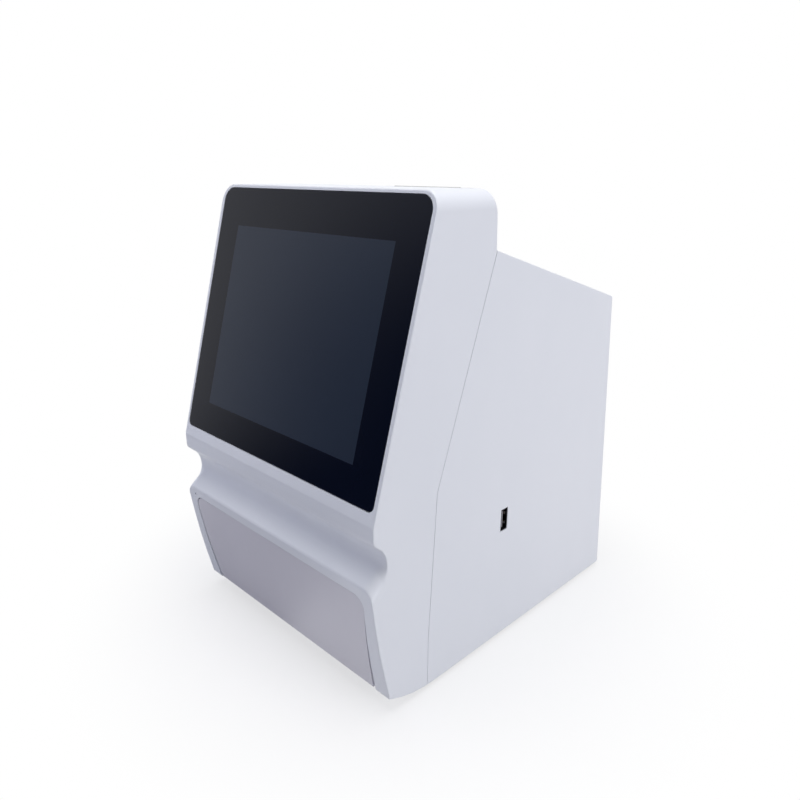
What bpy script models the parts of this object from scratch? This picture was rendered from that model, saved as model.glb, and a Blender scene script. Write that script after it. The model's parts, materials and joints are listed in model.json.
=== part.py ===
"""Desk-top blood analyzer with a leaning touch screen and a motor-driven reagent-disc drawer.

Metres, +Z up. The origin is the middle of the footprint, on the surface the feet stand on.
The screen faces -Y. Every length is a named value, and pieces take their places from each other's.
"""
import bpy
import bmesh
import math
from mathutils import Matrix, Vector

# Whole body
BODY_WIDTH = 0.205
BODY_HEIGHT = 0.310
BODY_DEPTH = 0.262
FOOT_HEIGHT = 0.0025
SHELL_WALL = 0.0028
REAR_WALL = 0.0046
SCREEN_WALL = 0.0040
DRAWER_BULKHEAD = 0.0065
FIT_GAP = 0.0003
RUNNING_GAP = 0.0004
OVERRUN = 0.02
HALF = BODY_WIDTH / 2
FRONT_Y = -BODY_DEPTH / 2
REAR_Y = BODY_DEPTH / 2

# Side profile of the body
REAR_LEAN = math.radians(4.8)
SCREEN_TILT = math.radians(15.7)
REAR_DROP = 0.0774
REAR_HEIGHT = BODY_HEIGHT - REAR_DROP
STEP_FOOT_DROP = 0.0339
STEP_FOOT_HEIGHT = BODY_HEIGHT - STEP_FOOT_DROP
HEAD_DEPTH = 0.0472
GLASS_FOOT_HEIGHT = 0.1417
GLASS_SETBACK = 0.0039
STEP_TOP_Y = FRONT_Y + GLASS_SETBACK + (BODY_HEIGHT - GLASS_FOOT_HEIGHT) * math.tan(SCREEN_TILT) + HEAD_DEPTH
CHIN_SETBACK = 0.0018
CHIN_LIP_HEIGHT = 0.1235
GROOVE_HEIGHT = 0.1092
GROOVE_DEPTH = 0.0179
LIP_HEIGHT = 0.0936
TOE_SETBACK = 0.0142
TOE_HEIGHT = 0.0118
KEEL_SETBACK = 0.055
FRONT_BELLY = 0.0015
TOE_BELLY = 0.0024
SOFT_RADIUS = 0.011
LIP_SOFT_RADIUS = 0.008
EDGE_RADIUS = 0.0011
REAR_FOOT_RADIUS = 0.0015
REAR_TOP_RADIUS = 0.0020
STEP_FOOT_RADIUS = 0.0010
STEP_TOP_RADIUS = 0.0025
HEAD_FRONT_RADIUS = 0.0013
CHIN_RADIUS = 0.006
CHIN_LIP_RADIUS = 0.005
GROOVE_RADIUS = 0.011
LIP_RADIUS = 0.003
TOE_RADIUS = 0.002
CORNER_STEPS = 3
GROOVE_STEPS = 7
BELLY_STEPS = 4
FILLET_STEPS = 7

# Seam between the two shells and its lap
SEAM_SETBACK = 0.048
SEAM_KNEE_SETBACK = 0.0536
SEAM_KNEE_HEIGHT = 0.138
SEAM_STRAIGHT_HEIGHT = 0.039
LAP_DEPTH = 0.004
LAP_WALL = 0.0014
LAP_BITE = 0.0004

# Screen
GLASS_MARGINS = 0.006
GLASS_WIDTH = BODY_WIDTH - GLASS_MARGINS
GLASS_TOP_DROP = 0.0023
GLASS_TOP_HEIGHT = BODY_HEIGHT - GLASS_TOP_DROP
GLASS_THICKNESS = 0.0018
GLASS_TOP_RADIUS = 0.009
GLASS_FOOT_RADIUS = 0.004
GLASS_SINK = 0.0001
DISPLAY_SIDE_MARGINS = 0.029
DISPLAY_WIDTH = BODY_WIDTH - DISPLAY_SIDE_MARGINS
DISPLAY_MARGINS = 0.0324
DISPLAY_HEIGHT = (GLASS_TOP_HEIGHT - GLASS_FOOT_HEIGHT) / math.cos(SCREEN_TILT) - DISPLAY_MARGINS
DISPLAY_THICKNESS = 0.006
DISPLAY_RISE = 0.0135
BRACKET_SHEET = 0.0012
BRACKET_FLANGE = 0.008
SCREEN_BOARD_MARGINS = 0.095
SCREEN_BOARD_WIDTH = BODY_WIDTH - SCREEN_BOARD_MARGINS
SCREEN_BOARD_HEIGHT = 0.070
BOARD_THICKNESS = 0.0016
CHIP_SIDE = 0.014
CHIP_HEIGHT = 0.0018

# Drawer front and its opening
PANEL_TOP_HEIGHT = 0.0865
PANEL_FOOT_HEIGHT = 0.0130
PANEL_TOP_MARGIN = 0.008
PANEL_TOP_HALF = HALF - PANEL_TOP_MARGIN
PANEL_FOOT_MARGIN = 0.0145
PANEL_FOOT_HALF = HALF - PANEL_FOOT_MARGIN
PANEL_TOP_RADIUS = 0.008
PANEL_GAP = 0.0005
PANEL_SINK = 0.0004
PANEL_THICKNESS = 0.003
RECESS_DEPTH = 0.0038
PAD_MARGIN = 0.0525
PAD_HALF = HALF - PAD_MARGIN
PAD_FOOT = 0.0385
PAD_TOP = 0.0495
PAD_COVER = 0.0004
WINDOW_MARGIN = 0.0305
WINDOW_HALF = HALF - WINDOW_MARGIN
WINDOW_FOOT = 0.0215
WINDOW_TOP = 0.056
PINHOLE_MARGIN = 0.0086
PINHOLE_X = PINHOLE_MARGIN - HALF
PINHOLE_HEIGHT = 0.0876
PINHOLE_RADIUS = 0.0009

# Drawer tray and runners
TRAY_MARGIN = 0.0405
TRAY_HALF = HALF - TRAY_MARGIN
TRAY_FRONT_SETBACK = 0.0123
TRAY_FRONT_Y = FRONT_Y + TRAY_FRONT_SETBACK
TRAY_REAR_INSET = 0.071
TRAY_REAR_Y = REAR_Y - TRAY_REAR_INSET
TRAY_FOOT = 0.038
TRAY_THICKNESS = 0.012
TRAY_FLOOR = 0.0025
TRAY_STEP_THICKNESS = 0.008
TRAY_STEP_SETBACK = 0.123
TRAY_STEP_Y = FRONT_Y + TRAY_STEP_SETBACK
DISC_SETBACK = 0.069
DISC_Y = FRONT_Y + DISC_SETBACK
DISC_POCKET_RADIUS = 0.0425
DISC_FINGER_RADIUS = 0.011
HUB_HOLE_RADIUS = 0.008
RUNNER_REACH = 0.007
RUNNER_HEIGHT = 0.003
RUNNER_RISE = 0.005
RAIL_FRONT_SETBACK = 0.019
RAIL_FRONT_Y = FRONT_Y + RAIL_FRONT_SETBACK
RAIL_REAR_INSET = 0.067
RAIL_REAR_Y = REAR_Y - RAIL_REAR_INSET
RAIL_HEIGHT = 0.010
CHASSIS_SHEET = 0.0012
CHASSIS_MARGIN = 0.0265
CHASSIS_HALF = HALF - CHASSIS_MARGIN
CHASSIS_FRONT_SETBACK = 0.0495
CHASSIS_FRONT_Y = FRONT_Y + CHASSIS_FRONT_SETBACK
CHASSIS_TOP = 0.057

# Rack, pinion and drawer motor
GEAR_MODULE = 0.001
RACK_PITCH_MARGIN = 0.01485
RACK_PITCH_X = RACK_PITCH_MARGIN - TRAY_HALF
RACK_BACK = 0.006
RACK_HEIGHT = 0.006
RACK_FRONT_SETBACK = 0.039
RACK_FRONT_Y = FRONT_Y + RACK_FRONT_SETBACK
PINION_TEETH = 16
PINION_SETBACK = 0.061
PINION_Y = FRONT_Y + PINION_SETBACK
GEAR_BACKLASH = 0.00035
ADDENDUM_SHARE = 0.85
DEDENDUM_SHARE = 1.2
PRESSURE_ANGLE = math.radians(20)
FLANK_STEPS = 3
GEARBOX_SIDE = 0.020
GEARBOX_HEIGHT = 0.004
MOTOR_RADIUS = 0.009
SHAFT_RADIUS = 0.0015
SHAFT_ENTRY = 0.003

# Disc drive
DISC_MOTOR_RADIUS = 0.016
DISC_MOTOR_HEIGHT = 0.012
HUB_RADIUS = 0.012
HUB_FLANGE = 0.0025
HUB_NOSE_RADIUS = 0.006
HUB_NOSE = 0.003
HUB_SHAFT_RADIUS = 0.002
HUB_SHAFT_ENTRY = 0.006

# Measuring head over the disc
HEATER_OVERLAP = 0.001
HEATER_RADIUS = DISC_POCKET_RADIUS + HEATER_OVERLAP
HEATER_THICKNESS = 0.0027
BRIDGE_SHEET = 0.002
BRIDGE_MARGIN = 0.0225
BRIDGE_HALF = HALF - BRIDGE_MARGIN
BRIDGE_FRONT_SETBACK = 0.019
BRIDGE_FRONT_Y = FRONT_Y + BRIDGE_FRONT_SETBACK
BRIDGE_REAR_INSET = 0.081
BRIDGE_REAR_Y = REAR_Y - BRIDGE_REAR_INSET
LIGHT_PATH_RADIUS = 0.006
CUVETTE_INSET = 0.007
CUVETTE_RADIUS = DISC_POCKET_RADIUS - CUVETTE_INSET
READER_MARGIN = 0.0485
READER_X = HALF - READER_MARGIN
BLOCK_MARGIN = 0.020
BLOCK_HALF = READER_X - BLOCK_MARGIN
BLOCK_FRONT_SETBACK = 0.071
BLOCK_FRONT_Y = FRONT_Y + BLOCK_FRONT_SETBACK
BLOCK_REAR_SETBACK = 0.137
BLOCK_REAR_Y = FRONT_Y + BLOCK_REAR_SETBACK
BLOCK_HEIGHT = 0.0245
LENS_HOLE_RADIUS = 0.004
LAMP_RADIUS = 0.011
LAMP_RISE = 0.0125
LAMP_COLLAR = 0.004
DETECTOR_BOARD_HALF = 0.028
READER_WIDTH = 0.018
READER_DEPTH = 0.024
READER_HEIGHT = 0.016
READER_WINDOW = 0.010

# Base, feet and base screws
BASE_SHEET = 0.0018
FOOT_RADIUS = 0.007
FOOT_MARGIN = 0.0225
FOOT_X = HALF - FOOT_MARGIN
FOOT_FRONT_SETBACK = 0.069
FOOT_FRONT_Y = FRONT_Y + FOOT_FRONT_SETBACK
FOOT_REAR_INSET = 0.023
FOOT_REAR_Y = REAR_Y - FOOT_REAR_INSET
FOOT_CHAMFER = 0.0008
POST_SIDE = 0.009
POST_HEIGHT = 0.020
POST_MARGIN = 0.0095
POST_X = HALF - POST_MARGIN
POST_FRONT_SETBACK = 0.060
POST_FRONT_Y = FRONT_Y + POST_FRONT_SETBACK
POST_REAR_INSET = 0.014
POST_REAR_Y = REAR_Y - POST_REAR_INSET
SCREW_RADIUS = 0.0015
SCREW_HEAD_RADIUS = 0.0029
SCREW_HEAD = 0.0014
SCREW_LENGTH = 0.010
SCREW_SLOT = 0.0008
SCREW_SLOT_DEPTH = 0.0006
HOLE_CLEARANCE = 0.0003

# Rear panel and what sits in it, measured up the leaning rear face
PANEL_REAR_MARGIN = 0.0185
PANEL_REAR_HALF = HALF - PANEL_REAR_MARGIN
PANEL_REAR_FOOT = 0.016
PANEL_REAR_TOP_DROP = 0.0286
PANEL_REAR_TOP = REAR_HEIGHT - PANEL_REAR_TOP_DROP
REAR_SHEET = 0.0016
REAR_SINK = 0.0001
REAR_FLANGE = 0.007
REAR_SCREW_INSET = 0.0045
FAN_SIDE = 0.060
FAN_DEPTH = 0.015
FAN_RISE_DROP = 0.054
FAN_RISE = PANEL_REAR_TOP - FAN_RISE_DROP
FAN_BORE_RADIUS = 0.0285
FAN_HUB_RADIUS = 0.0125
FAN_BLADE_RADIUS = 0.0272
FAN_BLADE_THICKNESS = 0.0014
FAN_BLADE_DEPTH = 0.0105
FAN_BLADE_PITCH = math.radians(38)
FAN_BLADES = 7
FAN_BEARING = 0.002
FAN_STRUT = 0.004
VENT_COUNT = 9
VENT_HEIGHT = 0.0030
VENT_PITCH = 0.0060
SOCKET_RISE = 0.046
NETWORK_MARGIN = 0.038
NETWORK_X = NETWORK_MARGIN - PANEL_REAR_HALF
NETWORK_WIDTH = 0.016
NETWORK_HEIGHT = 0.0135
NETWORK_DEPTH = 0.018
NETWORK_MOUTH_WIDTH = 0.0118
NETWORK_MOUTH_HEIGHT = 0.0082
NETWORK_MOUTH_DEPTH = 0.013
INLET_X = 0.010
INLET_SIDE = 0.012
INLET_DEPTH = 0.014
INLET_BORE_RADIUS = 0.0032
INLET_BORE_DEPTH = 0.009
INLET_PIN_RADIUS = 0.001
SWITCH_MARGIN = 0.032
SWITCH_X = PANEL_REAR_HALF - SWITCH_MARGIN
SWITCH_WIDTH = 0.021
SWITCH_HEIGHT = 0.015
SWITCH_BODY = 0.012
SWITCH_BEZEL = 0.0016
SWITCH_BEZEL_LIP = 0.0015
SWITCH_WELL_WIDTH = 0.0172
SWITCH_WELL_HEIGHT = 0.0112
SWITCH_WELL_DEPTH = 0.009
ROCKER_TIP = math.radians(8)
ROCKER_DEPTH = 0.0055
ROCKER_CREST = 0.0022
ROCKER_AXIS_DEPTH = 0.0028

# Boards and their frame
FRAME_INSET = 0.065
FRAME_Y = REAR_Y - FRAME_INSET
LAMP_REACH_SHARE = 0.567
LAMP_LENGTH = LAMP_REACH_SHARE * (FRAME_Y - BLOCK_REAR_Y)
FRAME_MARGIN = 0.0175
FRAME_HALF = HALF - FRAME_MARGIN
FRAME_SHELF_MARGIN = 0.0565
FRAME_SHELF_X = HALF - FRAME_SHELF_MARGIN
FRAME_SHELF_REAR_INSET = 0.010
FRAME_SHELF_REAR_Y = REAR_Y - FRAME_SHELF_REAR_INSET
FRAME_TOP_DROP = 0.0476
FRAME_TOP = REAR_HEIGHT - FRAME_TOP_DROP
STANDOFF_RADIUS = 0.003
STANDOFF_LENGTH = 0.004
STANDOFF_INSET = 0.006
MAIN_MARGIN = 0.0275
MAIN_HALF = HALF - MAIN_MARGIN
MAIN_FOOT = 0.060
MAIN_TOP_DROP = 0.010
MAIN_TOP = FRAME_TOP - MAIN_TOP_DROP
POWER_LEFT_MARGIN = 0.0245
POWER_LEFT = POWER_LEFT_MARGIN - HALF
POWER_FRONT_INSET = 0.057
POWER_FRONT_Y = REAR_Y - POWER_FRONT_INSET
POWER_REAR_INSET = 0.015
POWER_REAR_Y = REAR_Y - POWER_REAR_INSET
POWER_STANDOFF = 0.0055
COIL_WIDTH = 0.026
COIL_HEIGHT = 0.020
CAN_RADIUS = 0.008
CAN_HEIGHT = 0.022
SPEAKER_RADIUS = 0.014
SPEAKER_HEIGHT = 0.007
SPEAKER_MARGIN = 0.0345
SPEAKER_X = HALF - SPEAKER_MARGIN
SPEAKER_INSET = 0.037
SPEAKER_Y = REAR_Y - SPEAKER_INSET
SPEAKER_DUST_RADIUS = 0.006
SOUND_SLOT_COUNT = 4
SOUND_SLOT_LENGTH = 0.016
SOUND_SLOT_WIDTH = 0.0018
SOUND_SLOT_PITCH = 0.0045

# Upright socket in the right side
USB_SETBACK = 0.1224
USB_Y = FRONT_Y + USB_SETBACK
USB_HEIGHT = 0.0950
USB_MOUTH_WIDTH = 0.0066
USB_MOUTH_HEIGHT = 0.0156
USB_CUT_MARGIN = 0.0004
USB_SHELL_WALL = 0.0006
USB_DEPTH = 0.014
USB_TONGUE_THICKNESS = 0.0020
USB_TONGUE_HEIGHT = 0.0122
USB_TONGUE_SINK = 0.0010
USB_TONGUE_OFFSET = 0.0013
USB_BOARD_LENGTH = 0.032
USB_BOARD_HEIGHT = 0.044
USB_ARM_HEIGHT = 0.008

# Printer in the head
PRINTER_MARGIN = 0.0485
PRINTER_X = HALF - PRINTER_MARGIN
LID_HALF = 0.035
LID_AXIS_AHEAD = 0.0369
LID_AXIS_Y = STEP_TOP_Y - LID_AXIS_AHEAD
LID_AXIS_DROP = 0.0055
LID_REAR_AHEAD = 0.0076
LID_REAR_Y = STEP_TOP_Y - LID_REAR_AHEAD
LID_SHEET = 0.0024
LID_KNUCKLE_RADIUS = 0.0028
LID_PIN_RADIUS = 0.0010
LID_GAP = 0.0003
LID_OPENING_REAR_AHEAD = 0.0054
LID_OPENING_REAR_Y = STEP_TOP_Y - LID_OPENING_REAR_AHEAD
LID_EAR_INNER = 0.0305
LID_EAR_OUTER = 0.0325
LID_EAR_FOOT_DROP = 0.0110
LID_EAR_FRONT_AHEAD = 0.0174
LID_EAR_FRONT_Y = STEP_TOP_Y - LID_EAR_FRONT_AHEAD
LID_EAR_REAR_AHEAD = 0.0089
LID_EAR_REAR_Y = STEP_TOP_Y - LID_EAR_REAR_AHEAD
LID_ARC_STEPS = 6
PLATEN_AHEAD = 0.0129
PLATEN_Y = STEP_TOP_Y - PLATEN_AHEAD
PLATEN_DROP = 0.0070
PLATEN_RADIUS = 0.0036
PLATEN_HALF = 0.029
PLATEN_SHAFT_RADIUS = 0.0014
FEED_MODULE = 0.0005
PLATEN_TEETH = 16
FEED_TEETH = 24
FEED_GEAR_WIDTH = 0.0022
FEED_GEAR_INNER = 0.0328
BUCKET_HALF = 0.0315
BUCKET_FRONT_AHEAD = 0.0384
BUCKET_FRONT_Y = STEP_TOP_Y - BUCKET_FRONT_AHEAD
BUCKET_REAR_AHEAD = 0.0056
BUCKET_REAR_Y = STEP_TOP_Y - BUCKET_REAR_AHEAD
BUCKET_FOOT_DROP = 0.0440
BUCKET_TOP_DROP = 0.0125
BUCKET_WALL = 0.0015
BUCKET_REAR_WALL = 0.0033
SIDE_PLATE_INNER = 0.0353
SIDE_PLATE_OUTER = 0.0373
SIDE_PLATE_FOOT_DROP = 0.026
SIDE_PLATE_RISE_DROP = 0.0033
EAR_FRONT_AHEAD = 0.0409
EAR_FRONT_Y = STEP_TOP_Y - EAR_FRONT_AHEAD
EAR_REAR_AHEAD = 0.0329
EAR_REAR_Y = STEP_TOP_Y - EAR_REAR_AHEAD
ROLL_RADIUS = 0.013
ROLL_CORE_RADIUS = 0.004
ROLL_HALF = 0.0285
PRINT_HEAD_THICKNESS = 0.0028
PRINT_HEAD_HALF = 0.029
PRINT_HEAD_HEIGHT = 0.0072
PRINT_HEAD_AHEAD = 0.0087
PRINT_HEAD_Y = STEP_TOP_Y - PRINT_HEAD_AHEAD
TEAR_HALF = 0.027
TEAR_THICKNESS = 0.0010
TEAR_AHEAD = 0.0067
TEAR_Y = STEP_TOP_Y - TEAR_AHEAD
TEAR_RISE = 0.0004
FEED_MOTOR_RADIUS = 0.007
FEED_MOTOR_LENGTH = 0.012

# Release plunger behind the small hole
PLUNGER_RADIUS = 0.0025
PLUNGER_LENGTH = 0.018
PLUNGER_COLLAR_RADIUS = 0.0036
PLUNGER_COLLAR = 0.002
PLUNGER_GUIDE_RADIUS = 0.0043
PLUNGER_GUIDE_LENGTH = 0.010

ROUND_SIDES = 32
SMALL_SIDES = 16


# Scene and materials

def clear_scene():
    for item in list(bpy.data.objects):
        bpy.data.objects.remove(item, do_unlink=True)


def collection(name):
    made = bpy.data.collections.new(name)
    bpy.context.scene.collection.children.link(made)
    return made


def finish(name, colour, roughness, metallic=0.0):
    made = bpy.data.materials.new(name)
    made.use_nodes = True
    shader = made.node_tree.nodes["Principled BSDF"]
    shader.inputs["Base Color"].default_value = (*colour, 1.0)
    shader.inputs["Roughness"].default_value = roughness
    shader.inputs["Metallic"].default_value = metallic
    made.diffuse_color = (*colour, 1.0)
    return made


clear_scene()
PARTS = collection("blood_analyzer")
CUTTERS = collection("cutters")
WHITE = finish("white_abs", (0.80, 0.81, 0.84), 0.32)
PANEL_WHITE = finish("panel_abs", (0.76, 0.77, 0.81), 0.36)
GLASS = finish("black_glass", (0.012, 0.012, 0.016), 0.06)
SCREEN = finish("display", (0.03, 0.04, 0.055), 0.25)
STEEL = finish("zinc_steel", (0.55, 0.56, 0.58), 0.38, 1.0)
BRIGHT = finish("bright_steel", (0.72, 0.72, 0.72), 0.22, 1.0)
ALUMINIUM = finish("cast_aluminium", (0.62, 0.63, 0.64), 0.45, 1.0)
BLACK = finish("black_plastic", (0.02, 0.02, 0.022), 0.45)
DARK = finish("dark_tray", (0.045, 0.047, 0.052), 0.5)
RUBBER = finish("rubber", (0.025, 0.025, 0.025), 0.8)
BOARD = finish("circuit_board", (0.02, 0.12, 0.06), 0.5)
PAPER = finish("paper", (0.86, 0.86, 0.84), 0.85)
ACETAL = finish("acetal", (0.75, 0.74, 0.70), 0.4)


# Making solids

def put(name, bm, material=None, cutter=False):
    """Turn a bmesh into an object, as a part or as a cutter."""
    bmesh.ops.recalc_face_normals(bm, faces=bm.faces)
    mesh = bpy.data.meshes.new(name)
    bm.to_mesh(mesh)
    bm.free()
    made = bpy.data.objects.new(name, mesh)
    if cutter:
        CUTTERS.objects.link(made)
        made.display_type = "WIRE"
        made.hide_render = True
    else:
        PARTS.objects.link(made)
        mesh.materials.append(material)
        mesh.shade_smooth()
        mesh.set_sharp_from_angle(angle=math.radians(32))
    return made


def box(low, high):
    bm = bmesh.new()
    bmesh.ops.create_cube(bm, size=1)
    low, high = Vector(low), Vector(high)
    size = high - low
    bmesh.ops.scale(bm, vec=size, verts=bm.verts)
    bmesh.ops.translate(bm, vec=(low + high) / 2, verts=bm.verts)
    return bm


TURN = {"X": Matrix.Rotation(math.radians(90), 4, "Y"), "Y": Matrix.Rotation(math.radians(-90), 4, "X"),
        "Z": Matrix.Identity(4)}


def rod(centre, axis, radius, length, sides=ROUND_SIDES, far_radius=None):
    """A cylinder or cone whose near end is at centre and which runs along +axis."""
    bm = bmesh.new()
    far = radius if far_radius is None else far_radius
    bmesh.ops.create_cone(bm, cap_ends=True, segments=sides, radius1=radius, radius2=far, depth=length)
    bmesh.ops.translate(bm, vec=(0, 0, length / 2), verts=bm.verts)
    bmesh.ops.transform(bm, matrix=Matrix.Translation(centre) @ TURN[axis], verts=bm.verts)
    return bm


def outline_solid(points, axis, near, far):
    """A flat outline made thick along an axis: (x, z) along Y, (y, z) along X, or (x, y) along Z."""
    curve = bpy.data.curves.new("outline", "CURVE")
    curve.dimensions = "2D"
    curve.fill_mode = "BOTH"
    curve.extrude = (far - near) / 2
    spline = curve.splines.new("POLY")
    spline.points.add(len(points) - 1)
    for point, (u, v) in zip(spline.points, points):
        point.co = (u, v, 0, 1)
    spline.use_cyclic_u = True
    holder = bpy.data.objects.new("outline", curve)
    CUTTERS.objects.link(holder)
    bpy.context.view_layer.update()
    mesh = bpy.data.meshes.new_from_object(holder.evaluated_get(bpy.context.evaluated_depsgraph_get()))
    bpy.data.objects.remove(holder, do_unlink=True)
    bm = bmesh.new()
    bm.from_mesh(mesh)
    bmesh.ops.remove_doubles(bm, verts=bm.verts, dist=1e-6)
    bmesh.ops.dissolve_limit(bm, angle_limit=math.radians(0.1), verts=bm.verts, edges=bm.edges)
    middle = (near + far) / 2
    turns = {
        "X": Matrix(((0, 0, 1, middle), (1, 0, 0, 0), (0, 1, 0, 0), (0, 0, 0, 1))),
        "Y": Matrix(((1, 0, 0, 0), (0, 0, -1, middle), (0, 1, 0, 0), (0, 0, 0, 1))),
        "Z": Matrix.Translation((0, 0, middle)),
    }
    bmesh.ops.transform(bm, matrix=turns[axis], verts=bm.verts)
    return bm


def boolean(piece, tool, operation):
    step = piece.modifiers.new(operation.lower(), "BOOLEAN")
    step.object = tool
    step.operation = operation
    step.solver = "EXACT"


def cut(piece, bm, frame=None):
    tool = put(piece.name + "_cut", bm, cutter=True)
    if frame:
        tool.parent = frame
    boolean(piece, tool, "DIFFERENCE")
    return tool


def join(piece, bm, frame=None):
    tool = put(piece.name + "_join", bm, cutter=True)
    if frame:
        tool.parent = frame
    boolean(piece, tool, "UNION")
    return tool


def part(name, bm, material, frame=None):
    made = put(name, bm, material)
    if frame:
        made.parent = frame
    return made


def pivot(piece, place):
    """Put a piece's origin on its joint's axis."""
    place = Vector(place)
    piece.data.transform(Matrix.Translation(piece.location - place))
    piece.location = place


def frame_at(name, place, lean):
    """An empty that carries pieces fastened to a leaning face."""
    made = bpy.data.objects.new(name, None)
    made.location = place
    made.rotation_euler = (lean, 0, 0)
    PARTS.objects.link(made)
    return made


def ring(radius, steps, start=0.0, sweep=math.tau, centre=(0, 0), closed=True):
    count = steps if closed else steps + 1
    return [(centre[0] + radius * math.cos(start + sweep * i / steps),
             centre[1] + radius * math.sin(start + sweep * i / steps)) for i in range(count)]


def rounded(corners):
    """Round each (u, v, radius, steps) corner of a closed outline with an arc."""
    points = []
    count = len(corners)
    for i, (u, v, radius, steps) in enumerate(corners):
        here = Vector((u, v))
        before = (Vector(corners[i - 1][:2]) - here).normalized()
        after = (Vector(corners[(i + 1) % count][:2]) - here).normalized()
        if radius == 0:
            points.append((u, v))
            continue
        half_angle = before.angle(after) / 2
        centre = here + (before + after).normalized() * (radius / math.sin(half_angle))
        first = here + before * (radius / math.tan(half_angle)) - centre
        last = here + after * (radius / math.tan(half_angle)) - centre
        sweep = first.angle_signed(last)
        for step in range(steps + 1):
            turned = Matrix.Rotation(-sweep * step / steps, 2) @ first
            points.append(tuple(centre + turned))
    return points


def bulged(start, end, belly, steps):
    """Points between start and end on an arc that stands out by belly to the right of the way."""
    start, end = Vector(start), Vector(end)
    way = end - start
    side = Vector((way.y, -way.x)).normalized()
    return [tuple(start + way * (i / steps) + side * (belly * math.sin(math.pi * i / steps)))
            for i in range(1, steps)]


# Body profile, seen from the right: each corner is (y, z, radius, arc steps)

def screen_y(z):
    """Where the leaning front plane stands at a height."""
    return FRONT_Y + GLASS_SETBACK + (z - GLASS_FOOT_HEIGHT) * math.tan(SCREEN_TILT)


STEP_FOOT_Y = STEP_TOP_Y + (BODY_HEIGHT - STEP_FOOT_HEIGHT) * math.tan(REAR_LEAN)
REAR_TOP_Y = REAR_Y - (REAR_HEIGHT - FOOT_HEIGHT) * math.tan(REAR_LEAN)
CHIN_Y = FRONT_Y + CHIN_SETBACK
CHIN_TOP_HEIGHT = GLASS_FOOT_HEIGHT - (GLASS_SETBACK - CHIN_SETBACK) / math.tan(SCREEN_TILT)
TOE_Y = FRONT_Y + TOE_SETBACK
KEEL_Y = FRONT_Y + KEEL_SETBACK

CORNERS = [
    (REAR_Y, FOOT_HEIGHT, REAR_FOOT_RADIUS, CORNER_STEPS),
    (REAR_TOP_Y, REAR_HEIGHT, REAR_TOP_RADIUS, CORNER_STEPS),
    (STEP_FOOT_Y, STEP_FOOT_HEIGHT, STEP_FOOT_RADIUS, CORNER_STEPS),
    (STEP_TOP_Y, BODY_HEIGHT, STEP_TOP_RADIUS, CORNER_STEPS),
    (screen_y(BODY_HEIGHT), BODY_HEIGHT, HEAD_FRONT_RADIUS, CORNER_STEPS),
    (CHIN_Y, CHIN_TOP_HEIGHT, CHIN_RADIUS, CORNER_STEPS),
    (CHIN_Y, CHIN_LIP_HEIGHT, CHIN_LIP_RADIUS, CORNER_STEPS),
    (FRONT_Y + GROOVE_DEPTH, GROOVE_HEIGHT, GROOVE_RADIUS, GROOVE_STEPS),
    (FRONT_Y, LIP_HEIGHT, LIP_RADIUS, CORNER_STEPS),
    (TOE_Y, TOE_HEIGHT, TOE_RADIUS, CORNER_STEPS),
    (KEEL_Y, FOOT_HEIGHT, 0, 0),
]
STEP_TOP, HEAD_FRONT, GROOVE, LIP, TOE = 3, 4, 7, 8, 9
WALLS = [REAR_WALL, SHELL_WALL, SHELL_WALL, SHELL_WALL, SCREEN_WALL, SHELL_WALL, SHELL_WALL,
         SHELL_WALL, DRAWER_BULKHEAD, SHELL_WALL, SHELL_WALL]
BELLIES = {LIP: FRONT_BELLY, TOE: TOE_BELLY}
DOWN_STEP = Vector((math.tan(REAR_LEAN), -1))
DOWN_SCREEN = Vector((-math.tan(SCREEN_TILT), -1))


def inset(corners, depths):
    """Corners moved inwards, each edge by its own wall."""
    count = len(corners)
    lines = []
    for i in range(count):
        start, end = Vector(corners[i][:2]), Vector(corners[(i + 1) % count][:2])
        way = (end - start).normalized()
        lines.append((start + Vector((-way.y, way.x)) * depths[i], way))
    moved = []
    for i in range(count):
        (a, along), (b, across) = lines[i - 1], lines[i]
        reach = (b - a).cross(across) / along.cross(across)
        moved.append((*(a + along * reach), *corners[i][2:]))
    return moved


def profile_rows(corners, bellies, soft, lip_soft, edge):
    """Profile points, each with how it draws in towards the body's sides."""
    arcs = []
    for i, corner in enumerate(corners):
        before, after = corners[i - 1], corners[(i + 1) % len(corners)]
        if corner[2] == 0:
            arcs.append([tuple(corner[:2])])
            continue
        sharp = [(*before[:2], 0, 0), corner, (*after[:2], 0, 0)]
        arcs.append(rounded(sharp)[1:-1])
    rows = []
    for i, arc in enumerate(arcs):
        for k, point in enumerate(arc):
            pull, radius = Vector((0, 0)), 0
            if i == STEP_TOP:
                pull, radius = DOWN_STEP, soft
            if i == HEAD_FRONT:
                pull, radius = DOWN_SCREEN, soft
            if i == LIP:
                pull, radius = Vector((0, -1)), lip_soft
            if i == GROOVE:
                pull, radius = Vector((0, -k / max(len(arc) - 1, 1))), lip_soft
            rows.append((Vector(point), pull, radius))
        if i in bellies:
            following = arcs[(i + 1) % len(arcs)][0]
            middle = bulged(arc[-1], following, bellies[i], BELLY_STEPS)
            for k, point in enumerate(middle):
                fade = (1 - (k + 1) / BELLY_STEPS) ** 3 if i == LIP else 0
                rows.append((Vector(point), Vector((0, -fade)), lip_soft))
    full = []
    for i, (point, pull, radius) in enumerate(rows):
        before = (point - rows[i - 1][0]).normalized()
        after = (rows[(i + 1) % len(rows)][0] - point).normalized()
        middle = (before + after).normalized()
        inward = Vector((-middle.y, middle.x)) / max(middle.dot(after), math.cos(math.radians(60)))
        full.append((point, inward, edge if radius != soft or pull.length == 0 else 0, pull, radius))
    return full


def drop(radius, depth):
    """How far a fillet of this radius draws in at a depth from the side."""
    near = radius - min(depth, radius)
    return radius - math.sqrt(radius * radius - near * near)


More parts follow.
